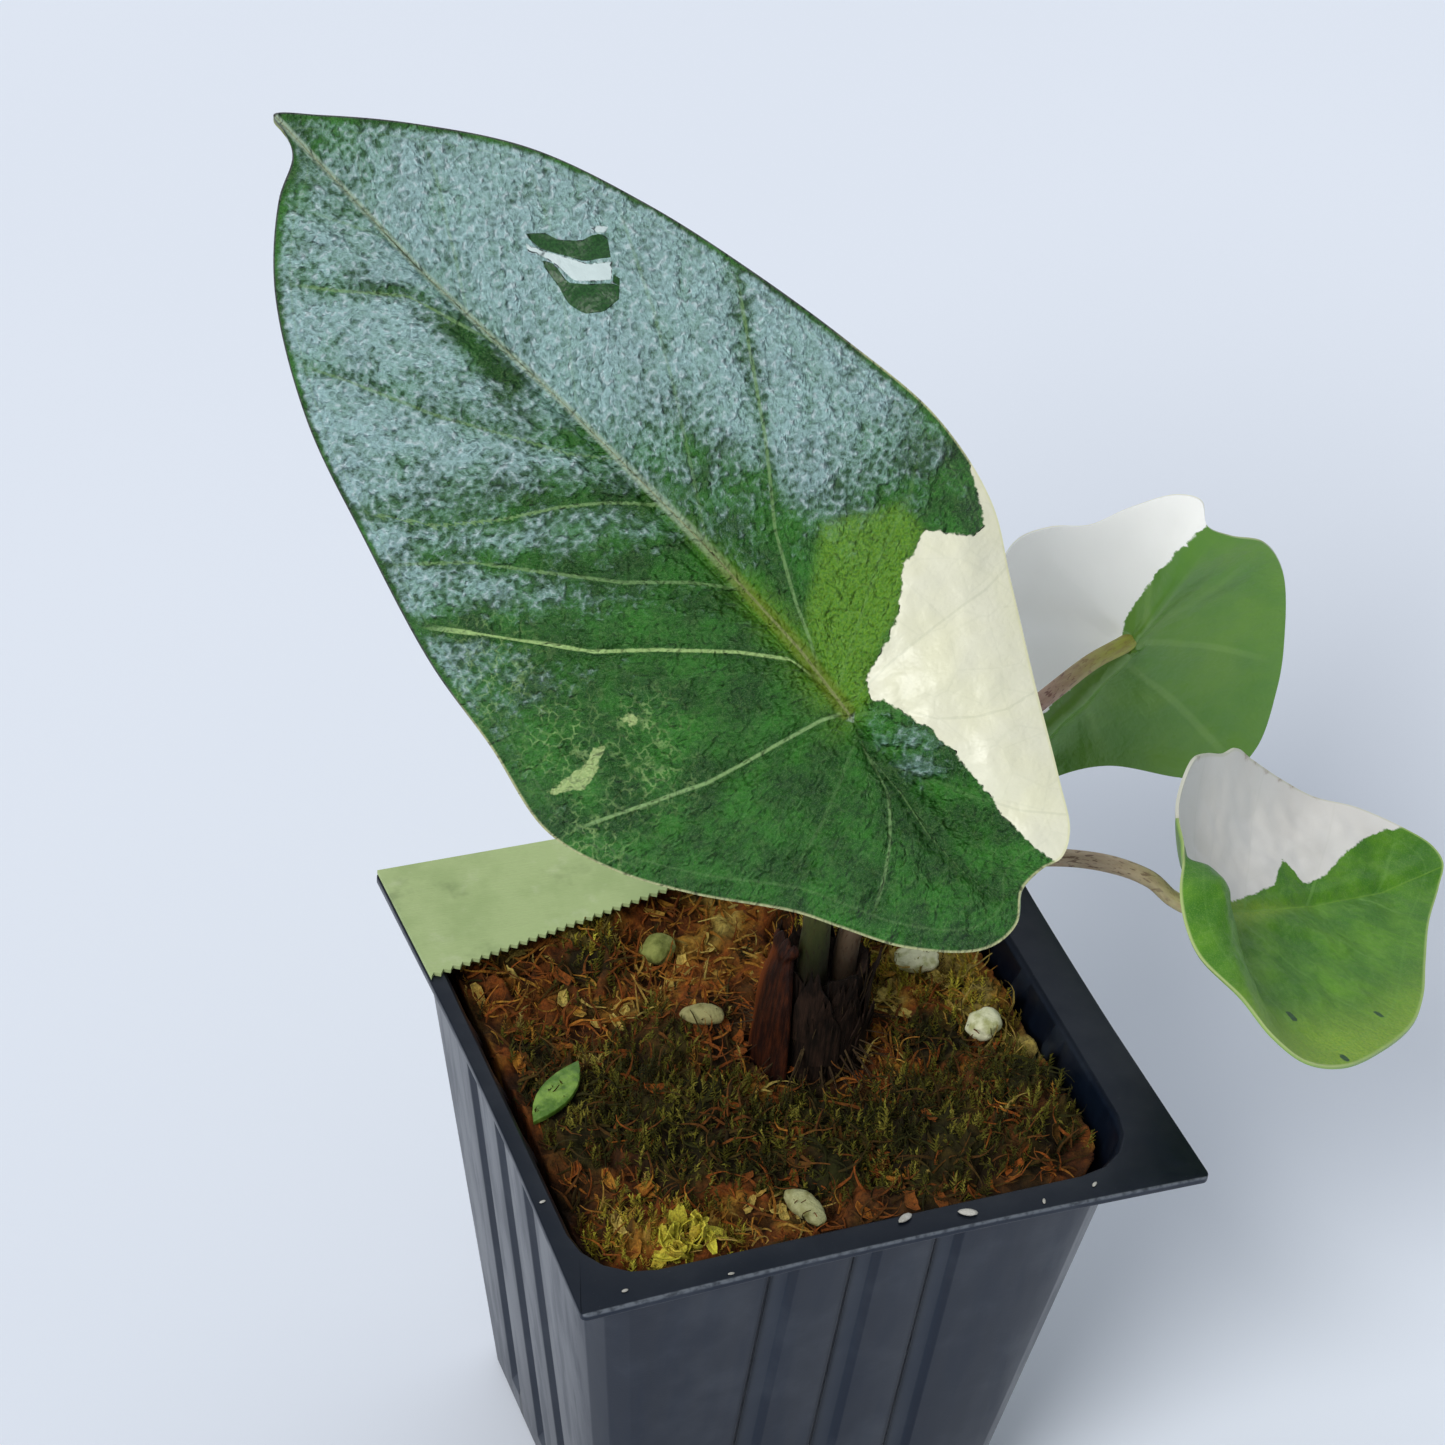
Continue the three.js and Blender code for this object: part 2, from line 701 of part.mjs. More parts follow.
// The bed's body: the lumpy top on a grid, walls that taper with the pot, and a flat foot
function bedGeometry() {
  const points = [];
  const number = (i, j) => i * (BED_CELLS + 1) + j;
  for (let i = 0; i <= BED_CELLS; i++) {
    for (let j = 0; j <= BED_CELLS; j++) {
      const [x, y] = bedPlace(i, j);
      points.push(new THREE.Vector3(x, y, bedSurface(x, y)));
    }
  }
  const triangles = bedTriangles().flatMap((loop) => loop.map(([i, j]) => number(i, j)));
  const edge = [];
  for (let k = 0; k < BED_CELLS; k++) edge.push(number(k, 0));
  for (let k = 0; k < BED_CELLS; k++) edge.push(number(BED_CELLS, k));
  for (let k = BED_CELLS; k > 0; k--) edge.push(number(k, BED_CELLS));
  for (let k = BED_CELLS; k > 0; k--) edge.push(number(0, k));
  const foot = new THREE.Vector3(0, 0, WALL + GAP);
  const footMiddle = points.push(foot) - 1;
  const firstFoot = points.length;
  for (const top of edge) {
    points.push(points[top].clone().multiplyScalar(BED_FOOT_SCALE).setZ(foot.z));
  }
  edge.forEach((top, k) => {
    const next = (k + 1) % edge.length;
    const low = firstFoot + k;
    const lowNext = firstFoot + next;
    triangles.push(top, low, lowNext, top, lowNext, edge[next], footMiddle, lowNext, low);
  });
  return geometryFrom(points, triangles);
}

// An upright round rod for cutting a hole, with its foot at a height
function drill(radius, sides, [x, y], foot) {
  const rod = new THREE.CylinderGeometry(radius, radius, HOLE_LENGTH, sides);
  rod.rotateX(Math.PI / 2);
  rod.translate(x, y, foot + HOLE_LENGTH / 2);
  return toSolid(rod);
}

function makeBed() {
  const strands = scatter(STRAND_SEED, STRANDS, (random, x, y) => {
    const { points, radii } = strand(random, x, y);
    return strandLiesFree(points) ? toSolid(tube(points, radii, FIBRE_SIDES)) : null;
  });
  const crownHole = drill(CROWN_RADIUS + GAP, CROWN_SIDES, CROWN_PLACE, CROWN_FOOT - GAP);
  const bed = strands.reduce((whole, one) => whole.add(one), toSolid(bedGeometry()));
  const cut = bed.subtract(crownHole).subtract(toSolid(sheathGeometry(GAP)));
  return mesh("sphagnum_bed", toGeometry(cut), FINISHES.bed);
}

// A pointed moss shoot that leans out of its cushion
function shoot(random, x, y, height) {
  const lean = new THREE.Vector3(random() - 0.5, random() - 0.5, 0).multiplyScalar(SHOOT_LEAN);
  const foot = new THREE.Vector3(x, y, mossSurface(x, y) - SHOOT_SINK);
  const head = foot.clone().add(lean).add(new THREE.Vector3(0, 0, height + SHOOT_SINK));
  return toSolid(tube([foot, head], [SHOOT_RADIUS, SHOOT_TIP], FIBRE_SIDES));
}

function shootStands(cushions, x, y) {
  const deep = cushionDepth(cushions, x, y) > SHOOT_DEPTH_IN_CUSHION;
  return deep && onBed(x, y, SHOOT_MARGIN) && clearOfSpots(x, y, SHOOT_FROM_SPOT);
}

// A cushion of moss: a slab that follows the bed, with shoots standing in it
function makeMoss(name, cushions, { count, seed, height }, finish) {
  const wanted = (x, y) => insideCushions(cushions, x, y);
  const floor = (x, y) => mossSurface(x, y) - CUSHION_RECESS + CUSHION_GAP;
  const shoots = scatter(seed, count, (random, x, y) =>
    shootStands(cushions, x, y) ? shoot(random, x, y, height * between(random, SHOOT_SIZES)) : null,
  );
  const cushion = toSolid(slab(wanted, mossSurface, floor));
  const whole = shoots.reduce((sum, one) => sum.add(one), cushion);
  return mesh(name, toGeometry(whole), finish);
}

// Crown and dry sheath

// The dry leaf base: a thin curved plate that stands round the crown's left side.
// A margin makes the slot that it stands in.
function sheathGeometry(margin) {
  const inner = CROWN_RADIUS + SHEATH_FROM_CROWN - margin;
  const outer = CROWN_RADIUS + SHEATH_FROM_CROWN + SHEATH_THICKNESS + margin;
  const foot = SHEATH_FOOT - margin;
  const from = radians(SHEATH_ARC[0]) - margin / inner;
  const to = radians(SHEATH_ARC[1]) + margin / inner;
  const place = (radius, k, { share, flare, width }) => {
    const angle = THREE.MathUtils.lerp(from, to, 0.5 + (k / SHEATH_STEPS - 0.5) * width);
    const torn = share === 1 ? 1 - SHEATH_TEAR * (k % 2) : 1;
    const x = CROWN_PLACE[0] + (radius + flare) * Math.cos(angle);
    const y = CROWN_PLACE[1] + (radius + flare) * Math.sin(angle);
    return new THREE.Vector3(x, y, foot + (SHEATH_TOP - foot) * share * torn);
  };
  const rings = SHEATH_LEVELS.map((level) => {
    const ring = [];
    for (let k = 0; k <= SHEATH_STEPS; k++) ring.push(place(outer, k, level));
    for (let k = SHEATH_STEPS; k >= 0; k--) ring.push(place(inner, k, level));
    return ring;
  });
  return skinOver(rings, SHEATH_STEPS + 1);
}

// Closes rings that are each an outer row and the inner row back
function skinOver(rings, row) {
  const count = 2 * row;
  const points = rings.flat();
  const triangles = [];
  for (let ring = 0; ring + 1 < rings.length; ring++) {
    for (let i = 0; i < count; i++) {
      const a = ring * count + i;
      const b = ring * count + ((i + 1) % count);
      triangles.push(a, b, b + count, a, b + count, a + count);
    }
  }
  const last = (rings.length - 1) * count;
  for (let i = 0; i + 1 < row; i++) {
    const back = count - 1 - i;
    triangles.push(i, back, back - 1, i, back - 1, i + 1);
    triangles.push(last + i, last + i + 1, last + back - 1, last + i, last + back - 1, last + back);
  }
  return geometryFrom(points, triangles);
}

function stemPlace(angle) {
  const x = CROWN_PLACE[0] + STEM_CIRCLE * Math.cos(radians(angle));
  const y = CROWN_PLACE[1] + STEM_CIRCLE * Math.sin(radians(angle));
  return [x, y];
}

function makeCrown() {
  const profile = CROWN_PROFILE.map(([radius, z]) => new THREE.Vector2(radius, z));
  const body = new THREE.LatheGeometry(profile, CROWN_SIDES);
  body.rotateX(Math.PI / 2);
  body.translate(...CROWN_PLACE, 0);
  let solid = toSolid(body);
  for (const { stem } of Object.values(LEAVES)) {
    const radius = stem.footRadius + STEM_CLEARANCE;
    solid = solid.subtract(drill(radius, 2 * PETIOLE_SIDES, stemPlace(stem.angle), STEM_FOOT - GAP));
  }
  return mesh("crown", toGeometry(solid), FINISHES.crown);
}

// Petioles and blades

function makePetiole(name, leaf) {
  const facing = vector(leaf.facing).normalize();
  const below = BLADE_THICKNESS + MIDRIB_DEPTH + GAP;
  const end = vector(leaf.attachment).addScaledVector(facing, -below);
  const [x, y] = stemPlace(leaf.stem.angle);
  const route = [
    new THREE.Vector3(x, y, STEM_FOOT),
    new THREE.Vector3(x, y, (STEM_FOOT + CROWN_TOP) / 2),
    new THREE.Vector3(x, y, CROWN_TOP + 1),
    ...leaf.route.map(vector),
    end,
  ];
  const curve = new THREE.CatmullRomCurve3(route, false, "centripetal");
  const points = curve.getSpacedPoints(PETIOLE_STEPS);
  const foot = leaf.stem.footRadius;
  const radii = points.map((point, i) => {
    const slimmer = ramp(0, PETIOLE_TAPER, i / PETIOLE_STEPS);
    return THREE.MathUtils.lerp(foot, leaf.stem.headRadius, slimmer);
  });
  return mesh(name, tube(points, radii, PETIOLE_SIDES, facing), FINISHES.petiole);
}

// The upper face: rings of points round the attachment, each rib an arc from it to the margin
function bladeSurface(ribs) {
  const margin = ribs.map(([x, y, z]) => new THREE.Vector3(x, y, z));
  const middle = ribs.map(([x, y, z, arch]) => new THREE.Vector3(x / 2, y / 2, z / 2 + arch));
  const marginCurve = new THREE.CatmullRomCurve3(margin, true, "centripetal");
  const middleCurve = new THREE.CatmullRomCurve3(middle, true, "centripetal");
  const spokes = ribs.length * SPOKES_PER_RIB;
  const points = [new THREE.Vector3()];
  for (const out of BLADE_RINGS) {
    for (let spoke = 0; spoke < spokes; spoke++) {
      const turn = spoke / spokes;
      const place = middleCurve.getPoint(turn).multiplyScalar(4 * out * (1 - out));
      place.addScaledVector(marginCurve.getPoint(turn), out * (2 * out - 1));
      points.push(place);
    }
  }
  const triangles = [];
  for (let spoke = 0; spoke < spokes; spoke++) {
    const next = (spoke + 1) % spokes;
    triangles.push(0, 1 + next, 1 + spoke);
    for (let ring = 0; ring + 1 < BLADE_RINGS.length; ring++) {
      const a = 1 + ring * spokes + spoke;
      const b = 1 + ring * spokes + next;
      triangles.push(a, b, b + spokes, a, b + spokes, a + spokes);
    }
  }
  return { points, triangles, spokes };
}

// How far the underside stands out for the midrib, which thins towards the tip
function midribDepth(point, length) {
  const beside = point.y > 0 ? Math.abs(point.x) : Math.hypot(point.x, point.y);
  const along = THREE.MathUtils.clamp(1 - point.y / length, 0, 1);
  return MIDRIB_DEPTH * along * Math.exp(-((beside / MIDRIB_WIDTH) ** 2));
}

function makeBlade(name, leaf) {
  const { points, triangles, spokes } = bladeSurface(leaf.ribs);
  const upper = geometryFrom(points, triangles);
  upper.computeVertexNormals();
  const length = Math.max(...points.map((point) => point.y));
  const normal = new THREE.Vector3();
  const lower = points.map((point, i) => {
    normal.fromBufferAttribute(upper.attributes.normal, i);
    const depth = BLADE_THICKNESS + midribDepth(point, length);
    return point.clone().addScaledVector(normal, -depth);
  });
  const count = points.length;
  const skin = [...triangles];
  for (let i = 0; i < triangles.length; i += 3) {
    skin.push(triangles[i] + count, triangles[i + 2] + count, triangles[i + 1] + count);
  }
  const rim = count - spokes;
  for (let spoke = 0; spoke < spokes; spoke++) {
    const a = rim + spoke;
    const b = rim + ((spoke + 1) % spokes);
    skin.push(a, b, b + count, a, b + count, a + count);
  }
  const finish = { ...BLADE_SHEEN, color: leaf.colour };
  const blade = mesh(name, geometryFrom([...points, ...lower], skin), finish);
  const facing = vector(leaf.facing).normalize();
  const along = vector(leaf.along).addScaledVector(facing, -vector(leaf.along).dot(facing));
  along.normalize();
  const across = along.clone().cross(facing);
  blade.position.copy(vector(leaf.attachment));
  blade.quaternion.setFromRotationMatrix(new THREE.Matrix4().makeBasis(across, along, facing));
  return blade;
}

// Loose bits on the moss

function makePaleBit(bit, number) {
  const random = stream(PALE_BIT_SEED + number);
  const ball = new THREE.IcosahedronGeometry(1, 1).deleteAttribute("normal").deleteAttribute("uv");
  const geometry = mergeVertices(ball);
  const place = geometry.attributes.position;
  for (let i = 0; i < place.count; i++) {
    const swell = between(random, PALE_BIT_SWELL);
    place.setXYZ(i, place.getX(i) * swell, place.getY(i) * swell, place.getZ(i) * swell);
  }
  geometry.scale(...bit.size);
  geometry.rotateZ(radians(bit.turn));
  geometry.computeBoundingBox();
  const piece = mesh(`pale_bit_${number + 1}`, geometry, FINISHES.paleBit);
  const level = mossSurface(bit.x, bit.y) + GAP - geometry.boundingBox.min.z;
  piece.position.set(bit.x, bit.y, level);
  return piece;
}

function makeLeafBit() {
  const [length, width] = LEAF_BIT.half;
  const shape = new THREE.Shape();
  shape.moveTo(-length, 0);
  const [upperBulge, lowerBulge] = LEAF_BIT_BULGE;
  shape.quadraticCurveTo(-length * LEAF_BIT_SKEW, width * upperBulge, length, width * LEAF_BIT_SKEW);
  shape.quadraticCurveTo(length * LEAF_BIT_SKEW, -width * lowerBulge, -length, 0);
  const geometry = new THREE.ExtrudeGeometry(shape, {
    depth: LEAF_BIT.thickness,
    bevelEnabled: false,
    curveSegments: LEAF_BIT_CURVE_STEPS,
  });
  geometry.rotateY(-radians(LEAF_BIT.tilt));
  geometry.rotateZ(radians(LEAF_BIT.turn));
  geometry.computeBoundingBox();
  const piece = mesh("green_leaf_bit", geometry, FINISHES.leafBit);
  const level = mossSurface(LEAF_BIT.x, LEAF_BIT.y) + GAP - geometry.boundingBox.min.z;
  piece.position.set(LEAF_BIT.x, LEAF_BIT.y, level);
  return piece;
}

// The plant in its pot

const plant = new THREE.Group();
plant.add(makePot());
plant.add(makeLabelTape());
plant.add(makeBed());
plant.add(makeMoss("green_moss", GREEN_CUSHIONS, GREEN_SHOOTS, FINISHES.greenMoss));
plant.add(makeMoss("gold_moss", GOLD_CUSHIONS, GOLD_SHOOTS, FINISHES.goldMoss));
plant.add(makeCrown());
plant.add(mesh("dry_sheath", sheathGeometry(0), FINISHES.sheath));
for (const [name, leaf] of Object.entries(LEAVES)) {
  plant.add(makePetiole(`petiole_${name}`, leaf));
  plant.add(makeBlade(`blade_${name}`, leaf));
}
PALE_BITS.forEach((bit, number) => plant.add(makePaleBit(bit, number)));
plant.add(makeLeafBit());

export default plant;
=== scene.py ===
"""A young variegated alocasia in a square nursery pot: the look of every piece.

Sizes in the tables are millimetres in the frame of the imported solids: +Z up, -Y the pot's front,
and the origin in the middle of the pot's underside. Meshes are made in metres.
"""

from __future__ import annotations

import logging
import math
import random
from collections.abc import Callable, Iterator
from contextlib import contextmanager
from dataclasses import dataclass
from enum import Enum
from functools import partial

import bpy
import numpy as np
from mathutils import Matrix, Vector, noise
from mathutils.bvhtree import BVHTree

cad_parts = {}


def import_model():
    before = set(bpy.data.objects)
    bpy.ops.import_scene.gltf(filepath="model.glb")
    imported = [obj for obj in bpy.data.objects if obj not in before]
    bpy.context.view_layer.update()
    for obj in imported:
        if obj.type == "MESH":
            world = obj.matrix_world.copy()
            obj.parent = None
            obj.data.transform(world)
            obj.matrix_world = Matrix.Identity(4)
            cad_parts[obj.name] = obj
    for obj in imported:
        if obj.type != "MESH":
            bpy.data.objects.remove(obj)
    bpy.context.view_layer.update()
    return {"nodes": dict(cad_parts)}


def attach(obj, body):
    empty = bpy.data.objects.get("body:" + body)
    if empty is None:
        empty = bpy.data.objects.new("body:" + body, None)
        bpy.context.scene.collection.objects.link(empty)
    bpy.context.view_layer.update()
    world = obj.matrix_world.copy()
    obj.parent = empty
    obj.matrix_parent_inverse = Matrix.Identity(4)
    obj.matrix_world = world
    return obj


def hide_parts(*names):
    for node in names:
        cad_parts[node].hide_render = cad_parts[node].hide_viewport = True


MM = 0.001
log = logging.getLogger("alocasia")

Point2 = tuple[float, float]
Point3 = tuple[float, float, float]
Outline = tuple[Point2, ...]
Socket = bpy.types.NodeSocket
Piece = bpy.types.Object
Material = bpy.types.Material


class Moss(Enum):
    """The kinds of moss on the bed."""

    BROWN = "brown"
    GREEN = "green"
    GOLD = "gold"


# Small mesh helpers


def colour(code: str) -> tuple[float, float, float, float]:
    """Gives the linear colour of a six-digit sRGB code.

    Args:
        code: Red, green and blue as two hexadecimal digits each.

    Returns:
        The colour with an alpha of 1.
    """
    channels = [int(code[i : i + 2], 16) / 255 for i in (0, 2, 4)]
    linear = [c / 12.92 if c <= 0.04045 else ((c + 0.055) / 1.055) ** 2.4 for c in channels]
    return (linear[0], linear[1], linear[2], 1.0)


def select_only(piece: Piece) -> None:
    """Selects one object alone and makes it active.

    Args:
        piece: The object.
    """
    bpy.ops.object.select_all(action="DESELECT")
    piece.select_set(True)
    bpy.context.view_layer.objects.active = piece


def new_piece(name: str, data: bpy.types.ID) -> Piece:
    """Adds an object that holds a mesh or a curve, and selects it alone.

    Args:
        name: The object's name.
        data: The mesh or the curve.

    Returns:
        The object.
    """
    piece = bpy.data.objects.new(name, data)
    bpy.context.scene.collection.objects.link(piece)
    select_only(piece)
    return piece


def active_piece(name: str) -> Piece:
    """Names the object that the last operator added.

    Args:
        name: The name for the object and for its mesh.

    Returns:
        The object.
    """
    piece = bpy.context.active_object
    piece.name = piece.data.name = name
    return piece


@contextmanager
def editing(piece: Piece) -> Iterator[None]:
    """Opens edit mode on a piece with its whole mesh selected, and closes it afterwards.

    Args:
        piece: The mesh object.

    Yields:
        Nothing. The edits are made inside the with block.
    """
    select_only(piece)
    bpy.ops.object.mode_set(mode="EDIT")
    bpy.ops.mesh.select_all(action="SELECT")
    yield
    bpy.ops.object.mode_set(mode="OBJECT")


def join(pieces: list[Piece]) -> Piece:
    """Joins several pieces into the first of them.

    Args:
        pieces: The mesh objects.

    Returns:
        The first piece, which then holds them all.
    """
    select_only(pieces[0])
    for piece in pieces:
        piece.select_set(True)
    bpy.ops.object.join()
    return pieces[0]


def points_of(piece: Piece) -> np.ndarray:
    """Reads the piece's vertices.

    Args:
        piece: The mesh object.

    Returns:
        Their places in metres, one row each.
    """
    points = np.zeros(len(piece.data.vertices) * 3)
    piece.data.vertices.foreach_get("co", points)
    return points.reshape(-1, 3)


def move_points(piece: Piece, points: np.ndarray) -> None:
    """Puts the piece's vertices at the given places, in metres."""
    piece.data.vertices.foreach_set("co", points.ravel())
    piece.data.update()


def write_values(piece: Piece, name: str, values: np.ndarray) -> None:
    """Stores one number, or one row of three numbers, for each vertex of the piece.

    Args:
        piece: The mesh object.
        name: The attribute that its material reads.
        values: An array with one entry for each vertex.
    """
    kind, key = ("FLOAT_VECTOR", "vector") if values.ndim == 2 else ("FLOAT", "value")
    attribute = piece.data.attributes.new(name, kind, "POINT")
    attribute.data.foreach_set(key, values.astype(np.float32).ravel())


def apply_modifier(piece: Piece, kind: str, **settings: object) -> None:
    """Adds a modifier and applies it at once.

    Args:
        piece: The mesh object.
        kind: The modifier's type.
        settings: The modifier's own settings.
    """
    select_only(piece)
    bpy.ops.object.modifier_add(type=kind)
    modifier = piece.modifiers[-1]
    for name, value in settings.items():
        setattr(modifier, name, value)
    bpy.ops.object.modifier_apply(modifier=modifier.name)


def smooth(piece: Piece, degrees: float) -> None:
    """Shades the piece smooth, apart from edges sharper than an angle."""
    select_only(piece)
    bpy.ops.object.shade_smooth_by_angle(angle=math.radians(degrees))


def copy_of(node: Piece, name: str, quads: bool = True) -> Piece:
    """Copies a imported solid, with its loose triangles joined, as the start of a finer piece.

    Args:
        node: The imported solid.
        name: The new piece's name.
        quads: Whether pairs of triangles become four-sided faces.

    Returns:
        The new piece.
    """
    piece = new_piece(name, node.data.copy())
    with editing(piece):
        bpy.ops.mesh.customdata_custom_splitnormals_clear()
        bpy.ops.mesh.remove_doubles(threshold=1e-5)
        if quads:
            bpy.ops.mesh.tris_convert_to_quads(face_threshold=0.7, shape_threshold=1.2)
    return piece


def seat(piece: Piece, material: Material, slot: str, *nodes: str) -> None:
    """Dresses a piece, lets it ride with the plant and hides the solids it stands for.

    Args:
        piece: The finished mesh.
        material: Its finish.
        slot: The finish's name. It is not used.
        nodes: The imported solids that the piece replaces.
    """
    piece.data.materials.clear()
    piece.data.materials.append(material)
    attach(piece, "root")
    if nodes:
        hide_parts(*nodes)
    log.info("%s: %d faces", piece.name, len(piece.data.polygons))


# Curves, distances and clouds


def through(points: np.ndarray, count: int, closed: bool) -> np.ndarray:
    """Gives places along the centripetal curve that runs through points.

    Args:
        points: The points, one row each.
        count: How many places to give.
        closed: Whether the curve returns to its first point.

    Returns:
        The places, one row each. A closed curve's last place lies one step before its first.
    """
    total = len(points)
    before, after = points[-1], points[0]
    if not closed:
        before, after = 2 * points[0] - points[1], 2 * points[-1] - points[-2]
    beyond = points[1] if closed else after
    padded = np.vstack([before, points, after, beyond])
    turn = np.arange(count) * (total / count) if closed else np.linspace(0, total - 1, count)
    index = np.minimum(turn.astype(int), total - 1 if closed else total - 2)
    part = (turn - index)[:, None]
    p0, p1, p2, p3 = (padded[index + k] for k in range(4))
    d0, d1, d2 = (
        np.maximum(np.sum((b - a) ** 2, axis=1), 1e-12)[:, None] ** 0.25
        for a, b in ((p0, p1), (p1, p2), (p2, p3))
    )
    start = ((p1 - p0) / d0 - (p2 - p0) / (d0 + d1) + (p2 - p1) / d1) * d1
    end = ((p2 - p1) / d1 - (p3 - p1) / (d1 + d2) + (p3 - p2) / d2) * d1
    square = -3 * p1 + 3 * p2 - 2 * start - end
    cube = 2 * p1 - 2 * p2 + start + end
    return p1 + start * part + square * part**2 + cube * part**3


def inside_distance(x: np.ndarray, y: np.ndarray, outline: Outline) -> np.ndarray:
    """Gives the distance to a closed outline, positive inside it and negative outside.

    Args:
        x: Across, one number for each place.
        y: Along, one number for each place.
        outline: The outline's corners in order.

    Returns:
        One signed distance for each place.
    """
    nearest = np.full(len(x), 1e9)
    inside = np.zeros(len(x), bool)
    for (ax, ay), (bx, by) in zip(outline, outline[1:] + outline[:1]):
        share = ((x - ax) * (bx - ax) + (y - ay) * (by - ay)) / ((bx - ax) ** 2 + (by - ay) ** 2)
        share = np.clip(share, 0, 1)
        reach = np.hypot(x - ax - share * (bx - ax), y - ay - share * (by - ay))
        nearest = np.minimum(nearest, reach)
        if ay != by:
            crossing = ax + (y - ay) * (bx - ax) / (by - ay)
            inside ^= ((ay > y) != (by > y)) & (x < crossing)
    return np.where(inside, nearest, -nearest)


def spots(x: np.ndarray, y: np.ndarray, places: tuple[Point3, ...]) -> np.ndarray:
    """Gives 1 at the middle of each of some round spots, and 0 outside them all.

    Args:
        x: Across, one number for each place.
        y: Along, one number for each place.
        places: Each spot's middle and radius.

    Returns:
        One number for each place.
    """
    depth = 0 * x
    for middle_x, middle_y, radius in places:
        depth = np.maximum(depth, ease(0, 1, 1 - np.hypot(x - middle_x, y - middle_y) / radius))
    return depth


def ease(low: float, high: float, value: np.ndarray) -> np.ndarray:
    """Rises from 0 at low to 1 at high without a corner."""
    share = np.clip((value - low) / (high - low), 0, 1)
    return share * share * (3 - 2 * share)


def ridge(away: np.ndarray, width: float) -> np.ndarray:
    """Gives 1 where a distance is 0, fading out over a width."""
    return np.exp(-((away / width) ** 2))


def cloud(points: np.ndarray, scales: Point3, shift: float = 0.0) -> np.ndarray:
    """Gives smooth noise from -1 to 1 at each point.

    Args:
        points: The points, one row each.
        scales: How fine the noise is along each axis.
        shift: A step along the third axis, by which one cloud differs from another.

    Returns:
        One number for each point.
    """
    places = points * np.array(scales) + np.array([0.0, 0.0, shift])
    return np.array([noise.noise(Vector(place)) for place in places])


# Node trees


